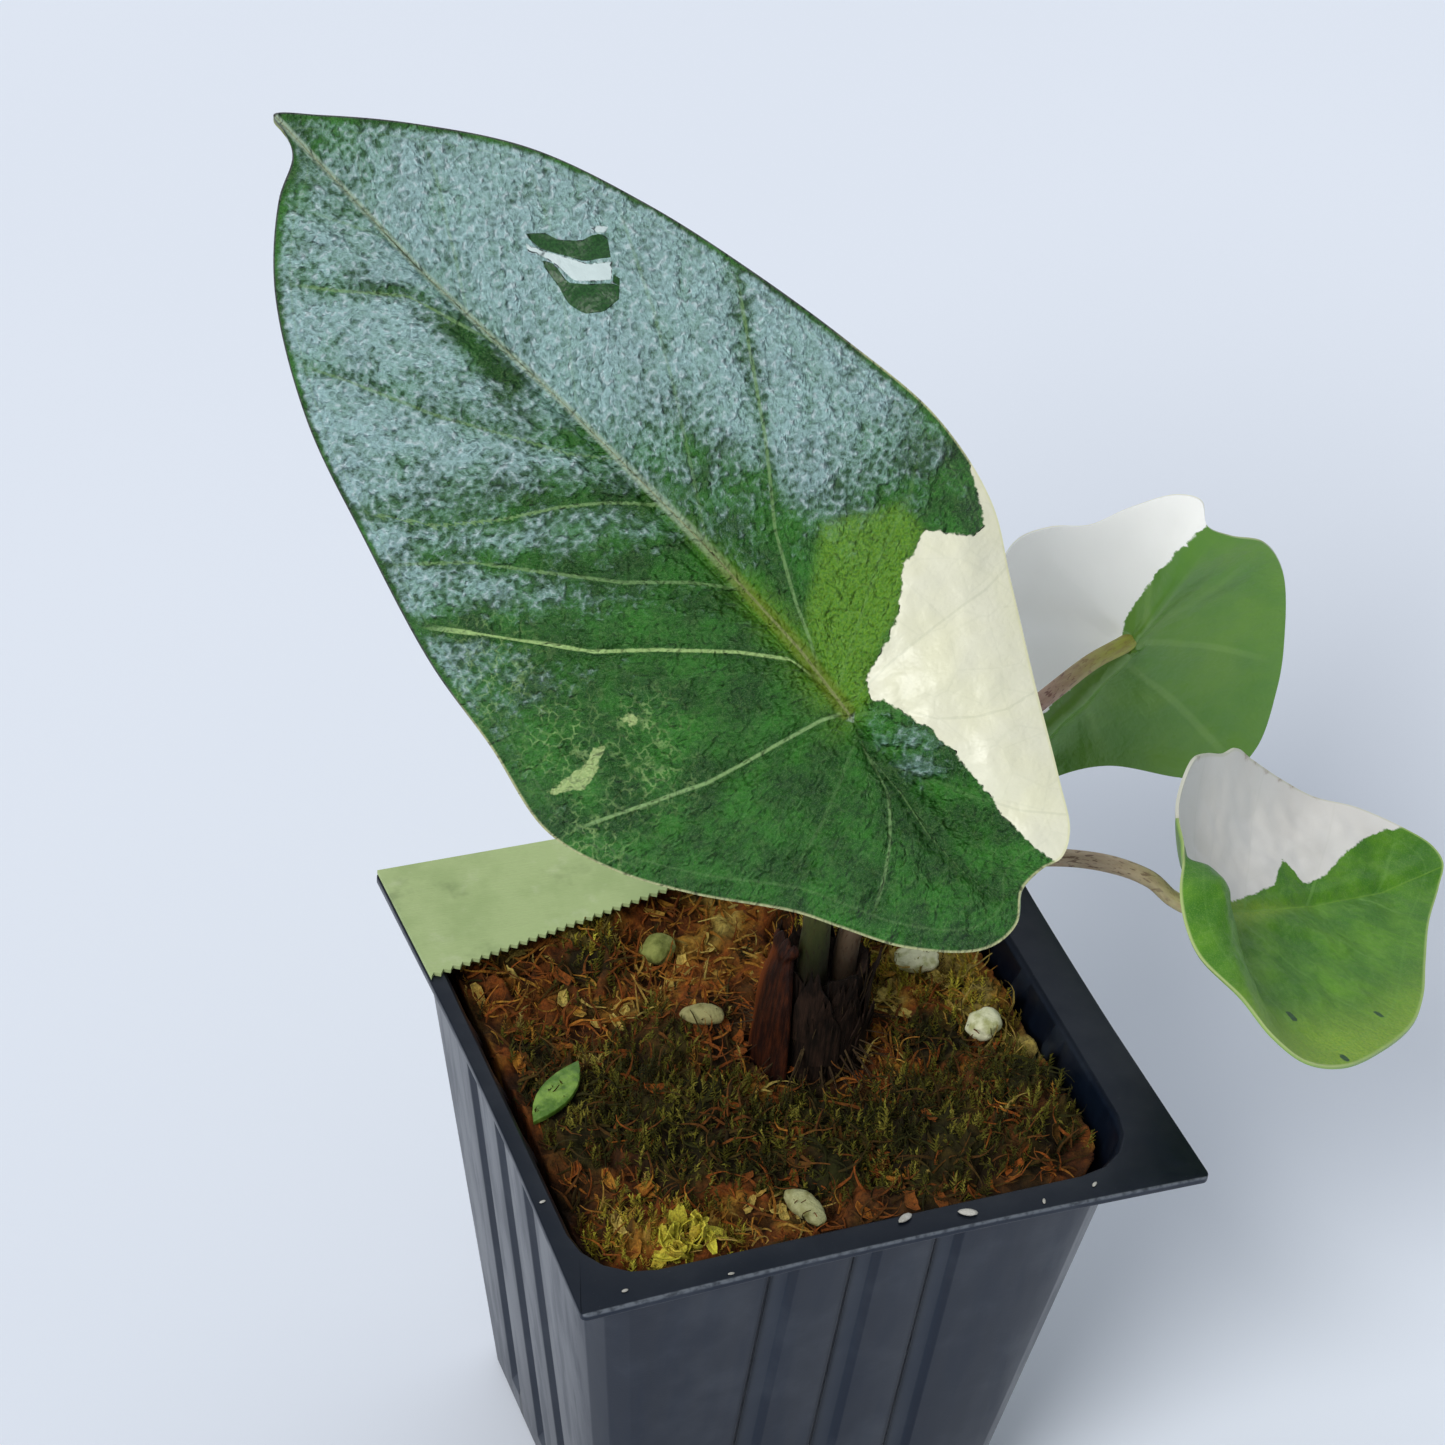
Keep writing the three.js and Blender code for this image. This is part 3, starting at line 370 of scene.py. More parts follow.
class Weave:
    """Adds nodes to one tree and joins them, so that a finish reads as a list of steps."""

    def __init__(self, tree: bpy.types.NodeTree) -> None:
        """Keeps the tree that the nodes go into."""
        self.tree = tree

    def feed(self, socket: Socket, value: object) -> None:
        """Joins a socket to another one, or sets its value, which may be a colour's code.

        Args:
            socket: The input to feed.
            value: A socket, a value or a colour's code.
        """
        if isinstance(value, Socket):
            self.tree.links.new(value, socket)
        else:
            socket.default_value = colour(value) if isinstance(value, str) else value

    def surface(self, **inputs: object) -> None:
        """Feeds the material's surface shader, whose inputs are named in small letters."""
        shader = self.tree.nodes["Principled BSDF"]
        for name, value in inputs.items():
            self.feed(shader.inputs[name.replace("_", " ").title().replace("Ior", "IOR")], value)

    def add(self, kind: str, inputs: dict | None = None, **settings: object) -> bpy.types.Node:
        """Adds a node.

        Args:
            kind: The node's type, without the words that all types start with.
            inputs: Values or sockets for its inputs, by name or number.
            settings: The node's own settings.

        Returns:
            The node.
        """
        node = self.tree.nodes.new(f"ShaderNode{kind}")
        for name, value in settings.items():
            setattr(node, name, value)
        for key, value in (inputs or {}).items():
            self.feed(node.inputs[key], value)
        return node

    def value(self, name: str) -> Socket:
        """Reads a number that is stored on the mesh."""
        return self.add("Attribute", attribute_name=name).outputs["Fac"]

    def vector(self, name: str) -> Socket:
        """Reads a vector that is stored on the mesh."""
        return self.add("Attribute", attribute_name=name).outputs["Vector"]

    def place(self) -> Socket:
        """Reads the object's own coordinates, in metres."""
        return self.add("TexCoord").outputs["Object"]

    def millimetres(self) -> Socket:
        """Reads the object's own coordinates, in millimetres."""
        return self.scaled(self.place(), (1000.0, 1000.0, 1000.0))

    def part(self, vector: Socket, axis: int) -> Socket:
        """Takes one axis out of a vector."""
        return self.add("SeparateXYZ", {0: vector}).outputs[axis]

    def scaled(self, vector: Socket, factors: Point3) -> Socket:
        """Stretches a vector by a factor for each axis."""
        return self.add("VectorMath", {0: vector, 1: factors}, operation="MULTIPLY").outputs[0]

    def moved(self, vector: Socket, step: Socket) -> Socket:
        """Adds one vector to another."""
        return self.add("VectorMath", {0: vector, 1: step}, operation="ADD").outputs[0]

    def math(self, operation: str, first: object, second: object = 0.0, third: object = 0.0) -> Socket:
        """Works out one number from up to three."""
        return self.add("Math", {0: first, 1: second, 2: third}, operation=operation).outputs[0]

    def times(self, first: object, second: object) -> Socket:
        """Multiplies two numbers."""
        return self.math("MULTIPLY", first, second)

    def minus(self, first: object, second: object) -> Socket:
        """Takes one number from another."""
        return self.math("SUBTRACT", first, second)

    def size_of(self, number: Socket) -> Socket:
        """Takes a number's sign away."""
        return self.math("ABSOLUTE", number)

    def ramp(self, value: object, low: object, high: object, start: float = 0.0, end: float = 1.0) -> Socket:
        """Maps a range of a value onto another range, without corners."""
        inputs = {0: value, 1: low, 2: high, 3: start, 4: end}
        return self.add("MapRange", inputs, interpolation_type="SMOOTHSTEP").outputs[0]

    def mix(self, share: object, first: object, second: object) -> Socket:
        """Mixes two colours."""
        return self.add("Mix", {0: share, 6: first, 7: second}, data_type="RGBA").outputs[2]

    def noise(self, vector: Socket, scale: object, detail: float = 3.0, rough: float = 0.5) -> Socket:
        """Gives cloud noise from 0 to 1 at a scale."""
        inputs = {"Vector": vector, "Scale": scale, "Detail": detail, "Roughness": rough}
        return self.add("TexNoise", inputs).outputs[0]

    def net(self, vector: Socket, scale: float) -> Socket:
        """Gives the distance to the borders between random cells."""
        inputs = {"Vector": vector, "Scale": scale}
        return self.add("TexVoronoi", inputs, feature="DISTANCE_TO_EDGE").outputs["Distance"]

    def bump(self, height: Socket, distance: float, strength: float = 1.0, normal: object = None) -> Socket:
        """Turns a height into a normal.

        Args:
            height: The height, from 0 to 1.
            distance: How deep a height of 1 is, in millimetres.
            strength: How much of the bump shows.
            normal: A coarser bump that this one lies on.

        Returns:
            The normal.
        """
        inputs = {"Height": height, "Distance": distance * MM, "Strength": strength}
        if normal is not None:
            inputs["Normal"] = normal
        return self.add("Bump", inputs).outputs[0]

    def group(self, name: str, **inputs: object) -> Socket:
        """Places a shared node group.

        Args:
            name: The group's name.
            inputs: Values or sockets for its inputs.

        Returns:
            The group's output.
        """
        return self.add("Group", inputs, node_tree=bpy.data.node_groups[name]).outputs[0]

    def patches(self, place: Socket, scale: float, low: float, high: float) -> Socket:
        """Gives soft patches from 0 to 1."""
        return self.group("Mottle", Place=place, Scale=scale, Low=low, High=high)


def new_group(name: str, inputs: dict[str, object], output: str) -> tuple[Weave, dict[str, Socket], Socket]:
    """Starts a shader node group.

    Args:
        name: The group's name.
        inputs: Each input's name and its value, a number or a vector.
        output: The name of its one output, a number.

    Returns:
        The group's weave, its inner input sockets by name, and the socket that takes the result.
    """
    tree = bpy.data.node_groups.new(name, "ShaderNodeTree")
    for key, value in inputs.items():
        kind = "NodeSocketVector" if isinstance(value, tuple) else "NodeSocketFloat"
        socket = tree.interface.new_socket(name=key, in_out="INPUT", socket_type=kind)
        socket.default_value = value
    tree.interface.new_socket(name=output, in_out="OUTPUT", socket_type="NodeSocketFloat")
    entry = tree.nodes.new("NodeGroupInput")
    leave = tree.nodes.new("NodeGroupOutput")
    return Weave(tree), {key: entry.outputs[key] for key in inputs}, leave.inputs[output]


def make_vein_lines() -> None:
    """Builds the group that draws soft lines where a stored vein phase is a whole number."""
    inputs = {"Phase": 0.0, "Step": 1.0, "Strength": 1.0, "Width": 0.3}
    w, given, result = new_group("Vein lines", inputs, "Line")
    away = w.size_of(w.minus(given["Phase"], w.math("ROUND", given["Phase"])))
    share = w.math("DIVIDE", w.times(away, given["Step"]), given["Width"])
    w.feed(result, w.times(w.ramp(share, 0.35, 1.0, 1.0, 0.0), given["Strength"]))


def make_ragged_edge() -> None:
    """Builds the group that turns a signed distance into a mask with a torn, clear-cut edge."""
    inputs = {"Distance": 0.0, "Place": (0.0, 0.0, 0.0), "Tear": 0.5, "Softness": 0.12}
    w, given, result = new_group("Ragged edge", inputs, "Mask")
    wide = w.minus(w.noise(given["Place"], 0.45, 2.0), 0.5)
    fine = w.minus(w.noise(given["Place"], 2.2, 2.0), 0.5)
    wobble = w.math("ADD", w.times(wide, 2.4), fine)
    shifted = w.math("MULTIPLY_ADD", wobble, given["Tear"], given["Distance"])
    w.feed(result, w.ramp(w.math("DIVIDE", shifted, given["Softness"]), -1.0, 1.0))


def make_mottle() -> None:
    """Builds the group that gives soft patches from 0 to 1."""
    inputs = {"Place": (0.0, 0.0, 0.0), "Scale": 1.0, "Low": 0.4, "High": 0.6}
    w, given, result = new_group("Mottle", inputs, "Patches")
    clouds = w.noise(given["Place"], given["Scale"], 4.0, 0.55)
    w.feed(result, w.ramp(clouds, given["Low"], given["High"]))


def new_material(name: str) -> tuple[Material, Weave]:
    """Starts a material.

    Args:
        name: Its name.

    Returns:
        The material and the weave of its nodes.
    """
    material = bpy.data.materials.new(name)
    material.use_nodes = True
    return material, Weave(material.node_tree)


# Finishes


@dataclass(frozen=True)
class Finish:
    """A named material, which each kind of finish paints in its own way."""

    name: str

    def build(self) -> Material:
        """Makes the material.

        Returns:
            The painted material.
        """
        material, w = new_material(self.name)
        self.paint(w)
        return material

    def paint(self, w: Weave) -> None:
        """Paints the material, which each kind of finish does for itself."""
        raise NotImplementedError


@dataclass(frozen=True)
class LeafSkin(Finish):
    """The finish of one blade, as colour codes and shares."""

    # The leaf's dark green, which also serves as painted shade in the creases and valleys.
    dark_green_and_shade: str
    green_light: str
    lime: str
    cream: str
    cream_warm: str
    vein: str
    vein_green: str
    # The silvery tint, which also carries a painted reflection of the light.
    silver_and_sheen: str
    back_green: str
    back_cream: str
    edge_dark: str
    edge_pale: str
    rib_pale: str = "B2C9B0"
    rib_olive: str = "6F8A24"
    rib_core: str = "A8A878"
    rib_brown: str = "6C6426"
    # Pale specks, which also stand in for fine glints of light.
    speck_and_glint: str = "6FA352"
    speck_and_glint_share: float = 0.5
    roughness: float = 0.28
    gloss: float = 0.4
    metallic: float = 0.4
    silver_and_sheen_share: float = 0.85
    # A painted highlight on the crests of the wrinkles.
    glint: str = "DCEAEC"
    glint_share: float = 0.6
    # How much painted shade darkens the creases between wrinkles.
    crease_shade_share: float = 0.75
    wrinkle: float = 1.6
    back_rib: str = "A9AC7C"
    cream_lines: float = 1.0
    # How strongly the cream glows: painted light standing in for light that shines through the blade from
    # behind.
    painted_backlight: float = 0.0

    def paint(self, w: Weave) -> None:
        """Paints both faces of the blade."""
        LeafPainter(self, w).paint()


class LeafPainter:
    """Paints a blade's material from what is stored on its mesh."""

    def __init__(self, skin: LeafSkin, w: Weave) -> None:
        """Reads the places, the relief and the cream mask that the layers of paint share.

        Args:
            skin: The finish's colours and shares.
            w: The material's weave.
        """
        self.skin = skin
        self.w = w
        self.place = self.w.vector("leaf_place")
        self.ripples = self._along_veins(0.45, 0.7)
        self.height = self._along_veins(1.25, 0.09, 5.0)
        self.bare = self._torn("cream", 0.5)

    def paint(self) -> None:
        """Paints the upper face and the underside."""
        w, skin = self.w, self.skin
        scar = w.ramp(w.math("MAXIMUM", w.value("scar_dark"), w.value("scar_pale")), 0.0, 0.2)
        plain = w.minus(1.0, w.math("MAXIMUM", self.bare, scar))
        fresh = w.times(plain, w.ramp(w.value("lime"), 0.0, 1.0, 1.0, 0.3))
        sheen = w.times(self._sheen(), fresh)
        crease_shade = self._crease_shade(sheen)
        # Mixes in the silvery tint: partly the leaf's metallic colour, partly a painted reflection of the
        # light.
        upper = w.mix(w.times(sheen, skin.silver_and_sheen_share), self._green(), skin.silver_and_sheen)
        # Painted highlight: a paler tint on the crests of the wrinkles.
        glint = w.times(w.ramp(self.height, 0.52, 0.64), sheen)
        upper = w.mix(w.times(glint, skin.glint_share), upper, skin.glint)
        # Painted shade in the creases between wrinkles.
        upper = w.mix(w.times(crease_shade, skin.crease_shade_share), upper, skin.dark_green_and_shade)
        upper = w.mix(self.bare, self._veined(upper), self._cream())
        upper = self._scarred(self._bordered(upper))
        w.surface(base_color=w.mix(w.value("underside"), upper, self._back()))
        top = w.minus(1.0, w.value("underside"))
        w.surface(metallic=w.times(w.times(sheen, top), skin.metallic), specular_ior_level=skin.gloss)
        w.surface(roughness=w.ramp(crease_shade, 0.0, 1.0, skin.roughness, skin.roughness + 0.15))
        w.surface(normal=self._relief(plain))
        # Painted light: the cream glows faintly, standing in for light that shines through the blade from
        # behind.
        if skin.painted_backlight:
            w.surface(emission_color=w.mix(self.bare, "000000", skin.back_cream))
            w.surface(emission_strength=skin.painted_backlight)

    def _along_veins(self, scale: float, reach: float, detail: float = 2.0) -> Socket:
        """Gives noise that is drawn out along the side veins.

        Args:
            scale: How fine the noise is, per millimetre.
            reach: How far it is drawn out to either side, in millimetres.
            detail: How many finer layers the noise has.

        Returns:
            A height about 0.5.
        """
        w = self.w
        total = w.noise(self.place, scale, detail, 0.6)
        for shift in (-reach, reach):
            spot = w.moved(self.place, w.scaled(w.vector("flow"), (shift, shift, shift)))
            total = w.math("ADD", total, w.noise(spot, scale, detail, 0.6))
        return w.math("DIVIDE", total, 3.0)

    def _torn(self, name: str, tear: float) -> Socket:
        """Gives the mask of a stored outline, with a torn edge."""
        return self.w.group("Ragged edge", Distance=self.w.value(name), Place=self.place, Tear=tear)

    def _lines(self, width: float, strength: object = 1.0) -> Socket:
        """Gives the lines of the side veins at a width."""
        phase, step = self.w.value("vein_phase"), self.w.value("vein_step")
        return self.w.group("Vein lines", Phase=phase, Step=step, Strength=strength, Width=width)

    def _sheen(self) -> Socket:
        """Gives how silvery a place is: its zone, broken up by ripples, wrinkles and grain. The silvery tint
        is partly the leaf's metallic colour and partly a painted reflection of the light.

        Returns:
            A number from 0 to 1.
        """
        w = self.w
        zone = w.math("MULTIPLY_ADD", w.value("silver_and_sheen"), 1.25, -0.34)
        waved = w.math("MULTIPLY_ADD", w.minus(self.ripples, 0.5), 1.6, zone)
        wrinkled = w.math("MULTIPLY_ADD", w.minus(self.height, 0.5), 1.3, waved)
        grain = w.minus(w.noise(self.place, 6.0, 2.0, 0.6), 0.5)
        tone = w.ramp(w.math("MULTIPLY_ADD", grain, 0.6, wrinkled), 0.0, 1.15)
        return w.times(tone, w.ramp(w.value("silver_and_sheen"), 0.0, 0.25))

    def _crease_shade(self, sheen: Socket) -> Socket:
        """Gives the painted shade in the creases between wrinkles, strongest where the sheen breaks up.

        Args:
            sheen: How silvery a place is.

        Returns:
            A mask from 0 to 1.
        """
        w = self.w
        breaking = w.times(w.ramp(sheen, 0.0, 0.25, 0.3, 1.0), w.ramp(sheen, 0.25, 0.75, 1.0, 0.28))
        crease_shade = w.times(w.ramp(self.height, 0.38, 0.52, 1.0, 0.0), breaking)
        return w.times(crease_shade, w.ramp(w.value("lime"), 0.0, 1.0, 1.0, 0.15))

    def _relief(self, plain: Socket) -> Socket:
        """Gives the ripples, the wrinkles on them, and a fine leathery grain.

        Args:
            plain: Where the blade is neither cream nor scarred.

        Returns:
            The normal.
        """
        w = self.w
        strong = w.ramp(plain, 0.0, 1.0, 0.08, 1.0)
        broad = w.times(w.minus(self.ripples, 0.5), strong)
        fine = w.times(w.minus(self.height, 0.5), strong)
        rippled = w.bump(broad, self.skin.wrinkle * 2, 1.0)
        wrinkled = w.bump(fine, self.skin.wrinkle, 1.0, rippled)
        return w.bump(w.noise(self.place, 8.0, 2.0, 0.6), 0.04, 0.6, wrinkled)

    def _green(self) -> Socket:
        """Gives the green ground with its lime zones, painted shade in its valleys, pale specks that also
        stand in for fine glints of light, and pale net.

        Returns:
            The colour.
        """
        w, skin = self.w, self.skin
        green = w.mix(w.patches(self.place, 0.16, 0.35, 0.65), skin.dark_green_and_shade, skin.green_light)
        cloudy = w.ramp(w.noise(self.place, 3.2, 3.0, 0.6), 0.4, 0.62)
        lime = w.mix(w.times(cloudy, 0.55), skin.lime, skin.green_light)
        green = w.mix(w.value("lime"), green, lime)
        # Painted shade in the valleys of the blade.
        green = w.mix(w.times(w.value("valley_shade"), 0.8), green, skin.dark_green_and_shade)
        # Pale specks, partly the leaf's grain and partly painted glints of light.
        speck_and_glint = w.ramp(w.noise(self.place, 8.0, 2.0, 0.7), 0.47, 0.7)
        green = w.mix(w.times(speck_and_glint, skin.speck_and_glint_share), green, skin.speck_and_glint)
        bent = w.moved(w.add("TexNoise", {"Vector": self.place, "Scale": 1.3}).outputs["Color"], self.place)
        cells = w.ramp(w.net(bent, 0.85), 0.02, 0.13, 1.0, 0.0)
        broken = w.times(cells, w.ramp(w.noise(self.place, 0.7, 2.0), 0.35, 0.65))
        net = w.times(broken, w.math("MULTIPLY_ADD", w.value("net"), 0.5, 0.07))
        return w.mix(net, green, skin.vein)

    def _veined(self, ground: Socket) -> Socket:
        """Draws the side veins, the line beside the edge and the midrib.

        Args:
            ground: The colour below them.

        Returns:
            The colour with them.
        """
        w, skin = self.w, self.skin
        strength = w.value("vein_strength")
        pale = w.mix(w.ramp(strength, 0.5, 0.95), skin.vein_green, skin.vein)
        veined = w.mix(w.times(self._lines(0.27), w.ramp(strength, 0.0, 0.6)), ground, pale)
        from_border = w.size_of(w.minus(w.value("margin"), 2.6))
        veined = w.mix(w.ramp(from_border, 0.05, 0.25, 0.16, 0.0), veined, skin.vein_green)
        width = w.value("rib_width")
        share = w.math("DIVIDE", w.size_of(w.value("rib")), width)
        shown = w.ramp(width, 0.04, 0.16)
        foot = w.ramp(width, 0.5, 0.85)
        stipple = w.times(
            w.ramp(w.noise(self.place, 4.2, 2.0, 0.6), 0.44, 0.6), w.ramp(foot, 0.0, 1.0, 0.05, 0.28)
        )
        band = w.mix(stipple, w.mix(foot, skin.rib_pale, skin.rib_olive), skin.rib_brown)
        veined = w.mix(w.times(w.ramp(share, 0.5, 1.3, 0.8, 0.0), shown), veined, band)
        return w.mix(w.times(w.ramp(share, 0.06, 0.26, 0.55, 0.0), shown), veined, skin.rib_core)

    def _cream(self) -> Socket:
        """Gives the cream sector with its faint net of veins.

        Returns:
            The colour.
        """
        w, skin = self.w, self.skin
        cream = w.mix(w.times(w.patches(self.place, 0.13, 0.35, 0.7), 0.45), skin.cream, skin.cream_warm)
        net = w.ramp(w.net(self.place, 0.22), 0.0, 0.035, 1.0, 0.0)
        faint = w.math("MAXIMUM", w.times(self._lines(0.2), 0.14), w.times(net, 0.06))
        return w.mix(w.times(faint, skin.cream_lines), cream, "8E9A78")

    def _bordered(self, ground: Socket) -> Socket:
        """Draws the thin line along the blade's edge, dark on one part and pale on the other.

        Args:
            ground: The colour below it.

        Returns:
            The colour with it.
        """
        w, skin = self.w, self.skin
        edge = w.mix(w.value("edge_tone"), skin.edge_pale, skin.edge_dark)
        edge = w.mix(w.times(self.bare, 0.8), edge, skin.cream_warm)
        line = w.ramp(w.value("margin"), 0.12, 0.38, 1.0, 0.0)
        return w.mix(w.times(line, 0.85), ground, edge)

    def _scarred(self, ground: Socket) -> Socket:
        """Paints the smooth dark and bleached places of an old injury, and pale and brown spots.

        Args:
            ground: The colour below them.

        Returns:
            The colour with them.
        """
        w = self.w
        mottled = w.ramp(w.noise(self.place, 3.0, 3.0, 0.6), 0.4, 0.62)
        spotted = w.mix(w.times(mottled, 0.45), "B4CB84", "7FA65C")
        ground = w.mix(self._torn("pale_spot", 0.7), ground, spotted)
        deep = w.mix(w.times(mottled, 0.5), "173F1A", "33682F")
        for name, tone in (("scar_dark", deep), ("scar_pale", "C9D9D8")):
            mask = w.times(self._torn(name, 0.2), w.ramp(w.value(name), 0.02, 0.12))
            ground = w.mix(mask, ground, tone)
        stain = w.times(w.ramp(w.value("brown"), 0.05, 0.9), w.ramp(mottled, 0.0, 1.0, 0.25, 0.7))
        return w.mix(stain, ground, "8A6A48")

    def _back(self) -> Socket:
        """Gives the underside, paler and more even than the upper face.

        Returns:
            The colour.
        """
        w, skin = self.w, self.skin
        green = w.mix(w.times(w.patches(self.place, 0.12, 0.3, 0.7), 0.4), skin.back_green, skin.lime)
        veins = self._lines(0.6, w.value("vein_strength"))
        green = w.mix(w.times(veins, 0.45), green, skin.vein)
        both = w.mix(self.bare, green, skin.back_cream)
        width = w.value("rib_width")
        share = w.math("DIVIDE", w.size_of(w.value("rib")), width)
        raised = w.times(w.ramp(share, 1.0, 2.2, 0.7, 0.0), w.ramp(width, 0.06, 0.16))
        return w.mix(raised, both, skin.back_rib)


@dataclass(frozen=True)
class StalkSkin(Finish):
    """The finish of a petiole: pinkish brown, spotted, and green or yellow towards the blade."""

    foot: str
    middle: str
    head: str
    spot: str
    axis: int
    start: float
    end: float
    shade: str = "1A120A"

    def paint(self, w: Weave) -> None:
        """Paints the stalk: blended along its length, streaked, spotted and dark at its foot.

        Args:
            w: The material's weave.
        """
        along = w.part(w.millimetres(), self.axis)
        early = w.ramp(along, self.start, (self.start + self.end) / 2)
        late = w.ramp(along, (self.start + 2 * self.end) / 3, self.end)
        skin = w.mix(late, w.mix(early, self.foot, self.middle), self.head)
        place = w.vector("stalk_place")
        streak = w.ramp(w.noise(place, 1.6, 4.0, 0.6), 0.35, 0.7)
        skin = w.mix(w.times(streak, 0.4), skin, self.foot)
        dots = w.ramp(w.noise(place, 2.6, 2.0, 0.5), 0.56, 0.64)
        skin = w.mix(w.times(dots, w.ramp(late, 0.0, 1.0, 0.75, 0.2)), skin, self.spot)
        low = w.ramp(w.part(place, 2), 4.5, 9.0, 0.92, 0.0)
        w.surface(base_color=w.mix(low, skin, self.shade), roughness=0.5)
        w.surface(subsurface_weight=0.08, subsurface_scale=0.002)
        w.surface(normal=w.bump(w.noise(place, 3.0, 4.0, 0.6), 0.12, 0.7))


@dataclass(frozen=True)
class PotPlastic(Finish):
    """The finish of the thin formed pot: blue-black, satin, with faint streaks, dusty specks and patches,
    and painted shade and highlights on its flutes and rim.
    """

    body: str = "0A121F"
    worn: str = "121D2D"
    # A near-black, used for painted shade: the dark stripe in each flute and the darkened flat rim.
    top: str = "04060A"
    flute_highlight: str = "28323F"
    dust_and_edge_highlight: str = "6F757C"
    flute_step: float = 10.0
    rim_half: float = 37.5
    rim_bow: float = 0.7
    rim_level: float = 69.5

    def paint(self, w: Weave) -> None:
        """Paints the walls with their flutes, each with a painted stripe of shade and a painted highlight
        band beside it, and the flat rim, darkened as painted shade, with its dusty specks and a painted
        highlight along its front edge.

        Args:
            w: The material's weave.
        """
        place = w.millimetres()
        streak = w.ramp(w.noise(w.scaled(place, (1.0, 1.0, 0.08)), 0.35, 5.0, 0.6), 0.38, 0.72)
        body = w.mix(w.times(streak, 0.45), self.body, self.worn)
        flat = w.ramp(w.part(place, 2), self.rim_level, self.rim_level + 0.4)
        specks = w.times(w.ramp(w.noise(place, 1.9, 3.0, 0.7), 0.66, 0.74), flat)
        body = w.mix(w.times(specks, 0.35), body, self.dust_and_edge_highlight)
        body = w.mix(w.times(w.patches(place, 0.12, 0.45, 0.75), 0.1), body, self.dust_and_edge_highlight)
        # Painted shade: a dark upright stripe in each flute.
        flute_shade = self._flute(w, place, -1.4, 1.1)
        body = w.mix(flute_shade, body, self.top)
        # Painted highlight: a paler band beside each flute's dark stripe.
        body = w.mix(w.times(self._flute(w, place, 0.3, 1.5), 0.4), body, self.flute_highlight)
        # Painted shade: the flat rim is darkened towards the near-black.
        body = w.mix(w.times(flat, 0.6), body, self.top)
        # Painted highlight: a thin pale line along the rim's front edge, in the same colour as the dusty
        # specks.
        w.surface(base_color=w.mix(w.times(self._rim_highlight(w, place), flat), body, self.dust_and_edge_highlight))
        w.surface(roughness=w.math("ADD", w.ramp(streak, 0.0, 1.0, 0.3, 0.42), w.times(flat, 0.15)))
        w.surface(specular_ior_level=0.2, specular_tint="B4D0FF")
        w.surface(coat_weight=w.ramp(flute_shade, 0.0, 1.0, 0.3, 0.0), coat_roughness=0.36)
        waves = w.noise(w.scaled(place, (1.0, 1.0, 0.25)), 0.14, 2.0, 0.5)
        w.surface(normal=w.bump(w.noise(place, 4.0, 2.0, 0.5), 0.02, 0.5, w.bump(waves, 0.5, 0.6)))

    def _flute(self, w: Weave, place: Socket, middle: float, reach: float) -> Socket:
        """Gives a soft upright stripe in each flute of the walls, which the finish uses both for painted
        shade and for a painted highlight.

        Args:
            w: The material's weave.
            place: The place in millimetres.
            middle: How far the stripe lies beside the flute's middle.
            reach: How far to either side it ends.

        Returns:
            A mask from 0 to 1.
        """
        x, y = w.part(place, 0), w.part(place, 1)
        facing = w.math("GREATER_THAN", w.size_of(y), w.size_of(x))
        along = w.math("MULTIPLY_ADD", w.minus(x, y), facing, y)
        fluted = w.ramp(w.size_of(along), 1.4 * self.flute_step, 1.5 * self.flute_step, 1.0, 0.0)
        walls = w.times(fluted, w.ramp(w.part(place, 2), self.rim_level - 3, self.rim_level - 1.5, 1.0, 0.0))
        nearest = w.math("SNAP", w.math("ADD", along, self.flute_step / 2), self.flute_step)
        away = w.size_of(w.minus(w.minus(along, nearest), middle))
        return w.times(w.ramp(away, 0.2, reach, 1.0, 0.0), walls)

    def _rim_highlight(self, w: Weave, place: Socket) -> Socket:
        """Gives a thin pale line along the front edge of the rim, which bows inwards: a painted highlight on
        the edge, broken up by noise.

        Args:
            w: The material's weave.
            place: The place in millimetres.

        Returns:
            A mask from 0 to 1.
        """
        share = w.math("DIVIDE", w.part(place, 0), self.rim_half)
        pull = w.math("MULTIPLY_ADD", w.times(share, share), -self.rim_bow, self.rim_bow)
        away = w.math("ADD", w.part(place, 1), w.minus(self.rim_half, pull))
        broken = w.ramp(w.noise(place, 1.2, 3.0, 0.6), 0.3, 0.6, 0.25, 0.8)
        return w.times(w.ramp(w.size_of(away), 0.1, 0.32, 1.0, 0.0), broken)


@dataclass(frozen=True)
class LabelPaper(Finish):
    """The finish of the paper tape: dull yellow-green with cloudy mottling."""

    paper: str = "AFC188"
    damp: str = "97AC72"
    worn: str = "C6D0A8"
    smudge: str = "7E9060"

    def paint(self, w: Weave) -> None:
        """Paints the paper with damp and worn patches, a crepe relief and a faint smudge.

        Args:
            w: The material's weave.
        """
        place = w.millimetres()
        paper = w.mix(w.times(w.patches(place, 0.16, 0.4, 0.66), 0.55), self.paper, self.damp)
        paper = w.mix(w.times(w.patches(place, 0.33, 0.55, 0.75), 0.4), paper, self.worn)
        fibre = w.noise(w.scaled(place, (1.0, 4.0, 1.0)), 1.6, 4.0, 0.7)
        paper = w.mix(w.ramp(fibre, 0.4, 0.8, 0.0, 0.2), paper, self.damp)
        smudges = w.ramp(w.noise(place, 0.11, 4.0, 0.6), 0.56, 0.7, 0.0, 0.6)
        w.surface(base_color=w.mix(smudges, paper, self.smudge), roughness=0.82)
        crepe = w.noise(w.scaled(place, (0.6, 3.0, 1.0)), 1.3, 3.0, 0.5)
        w.surface(normal=w.bump(crepe, 0.09, 0.7))


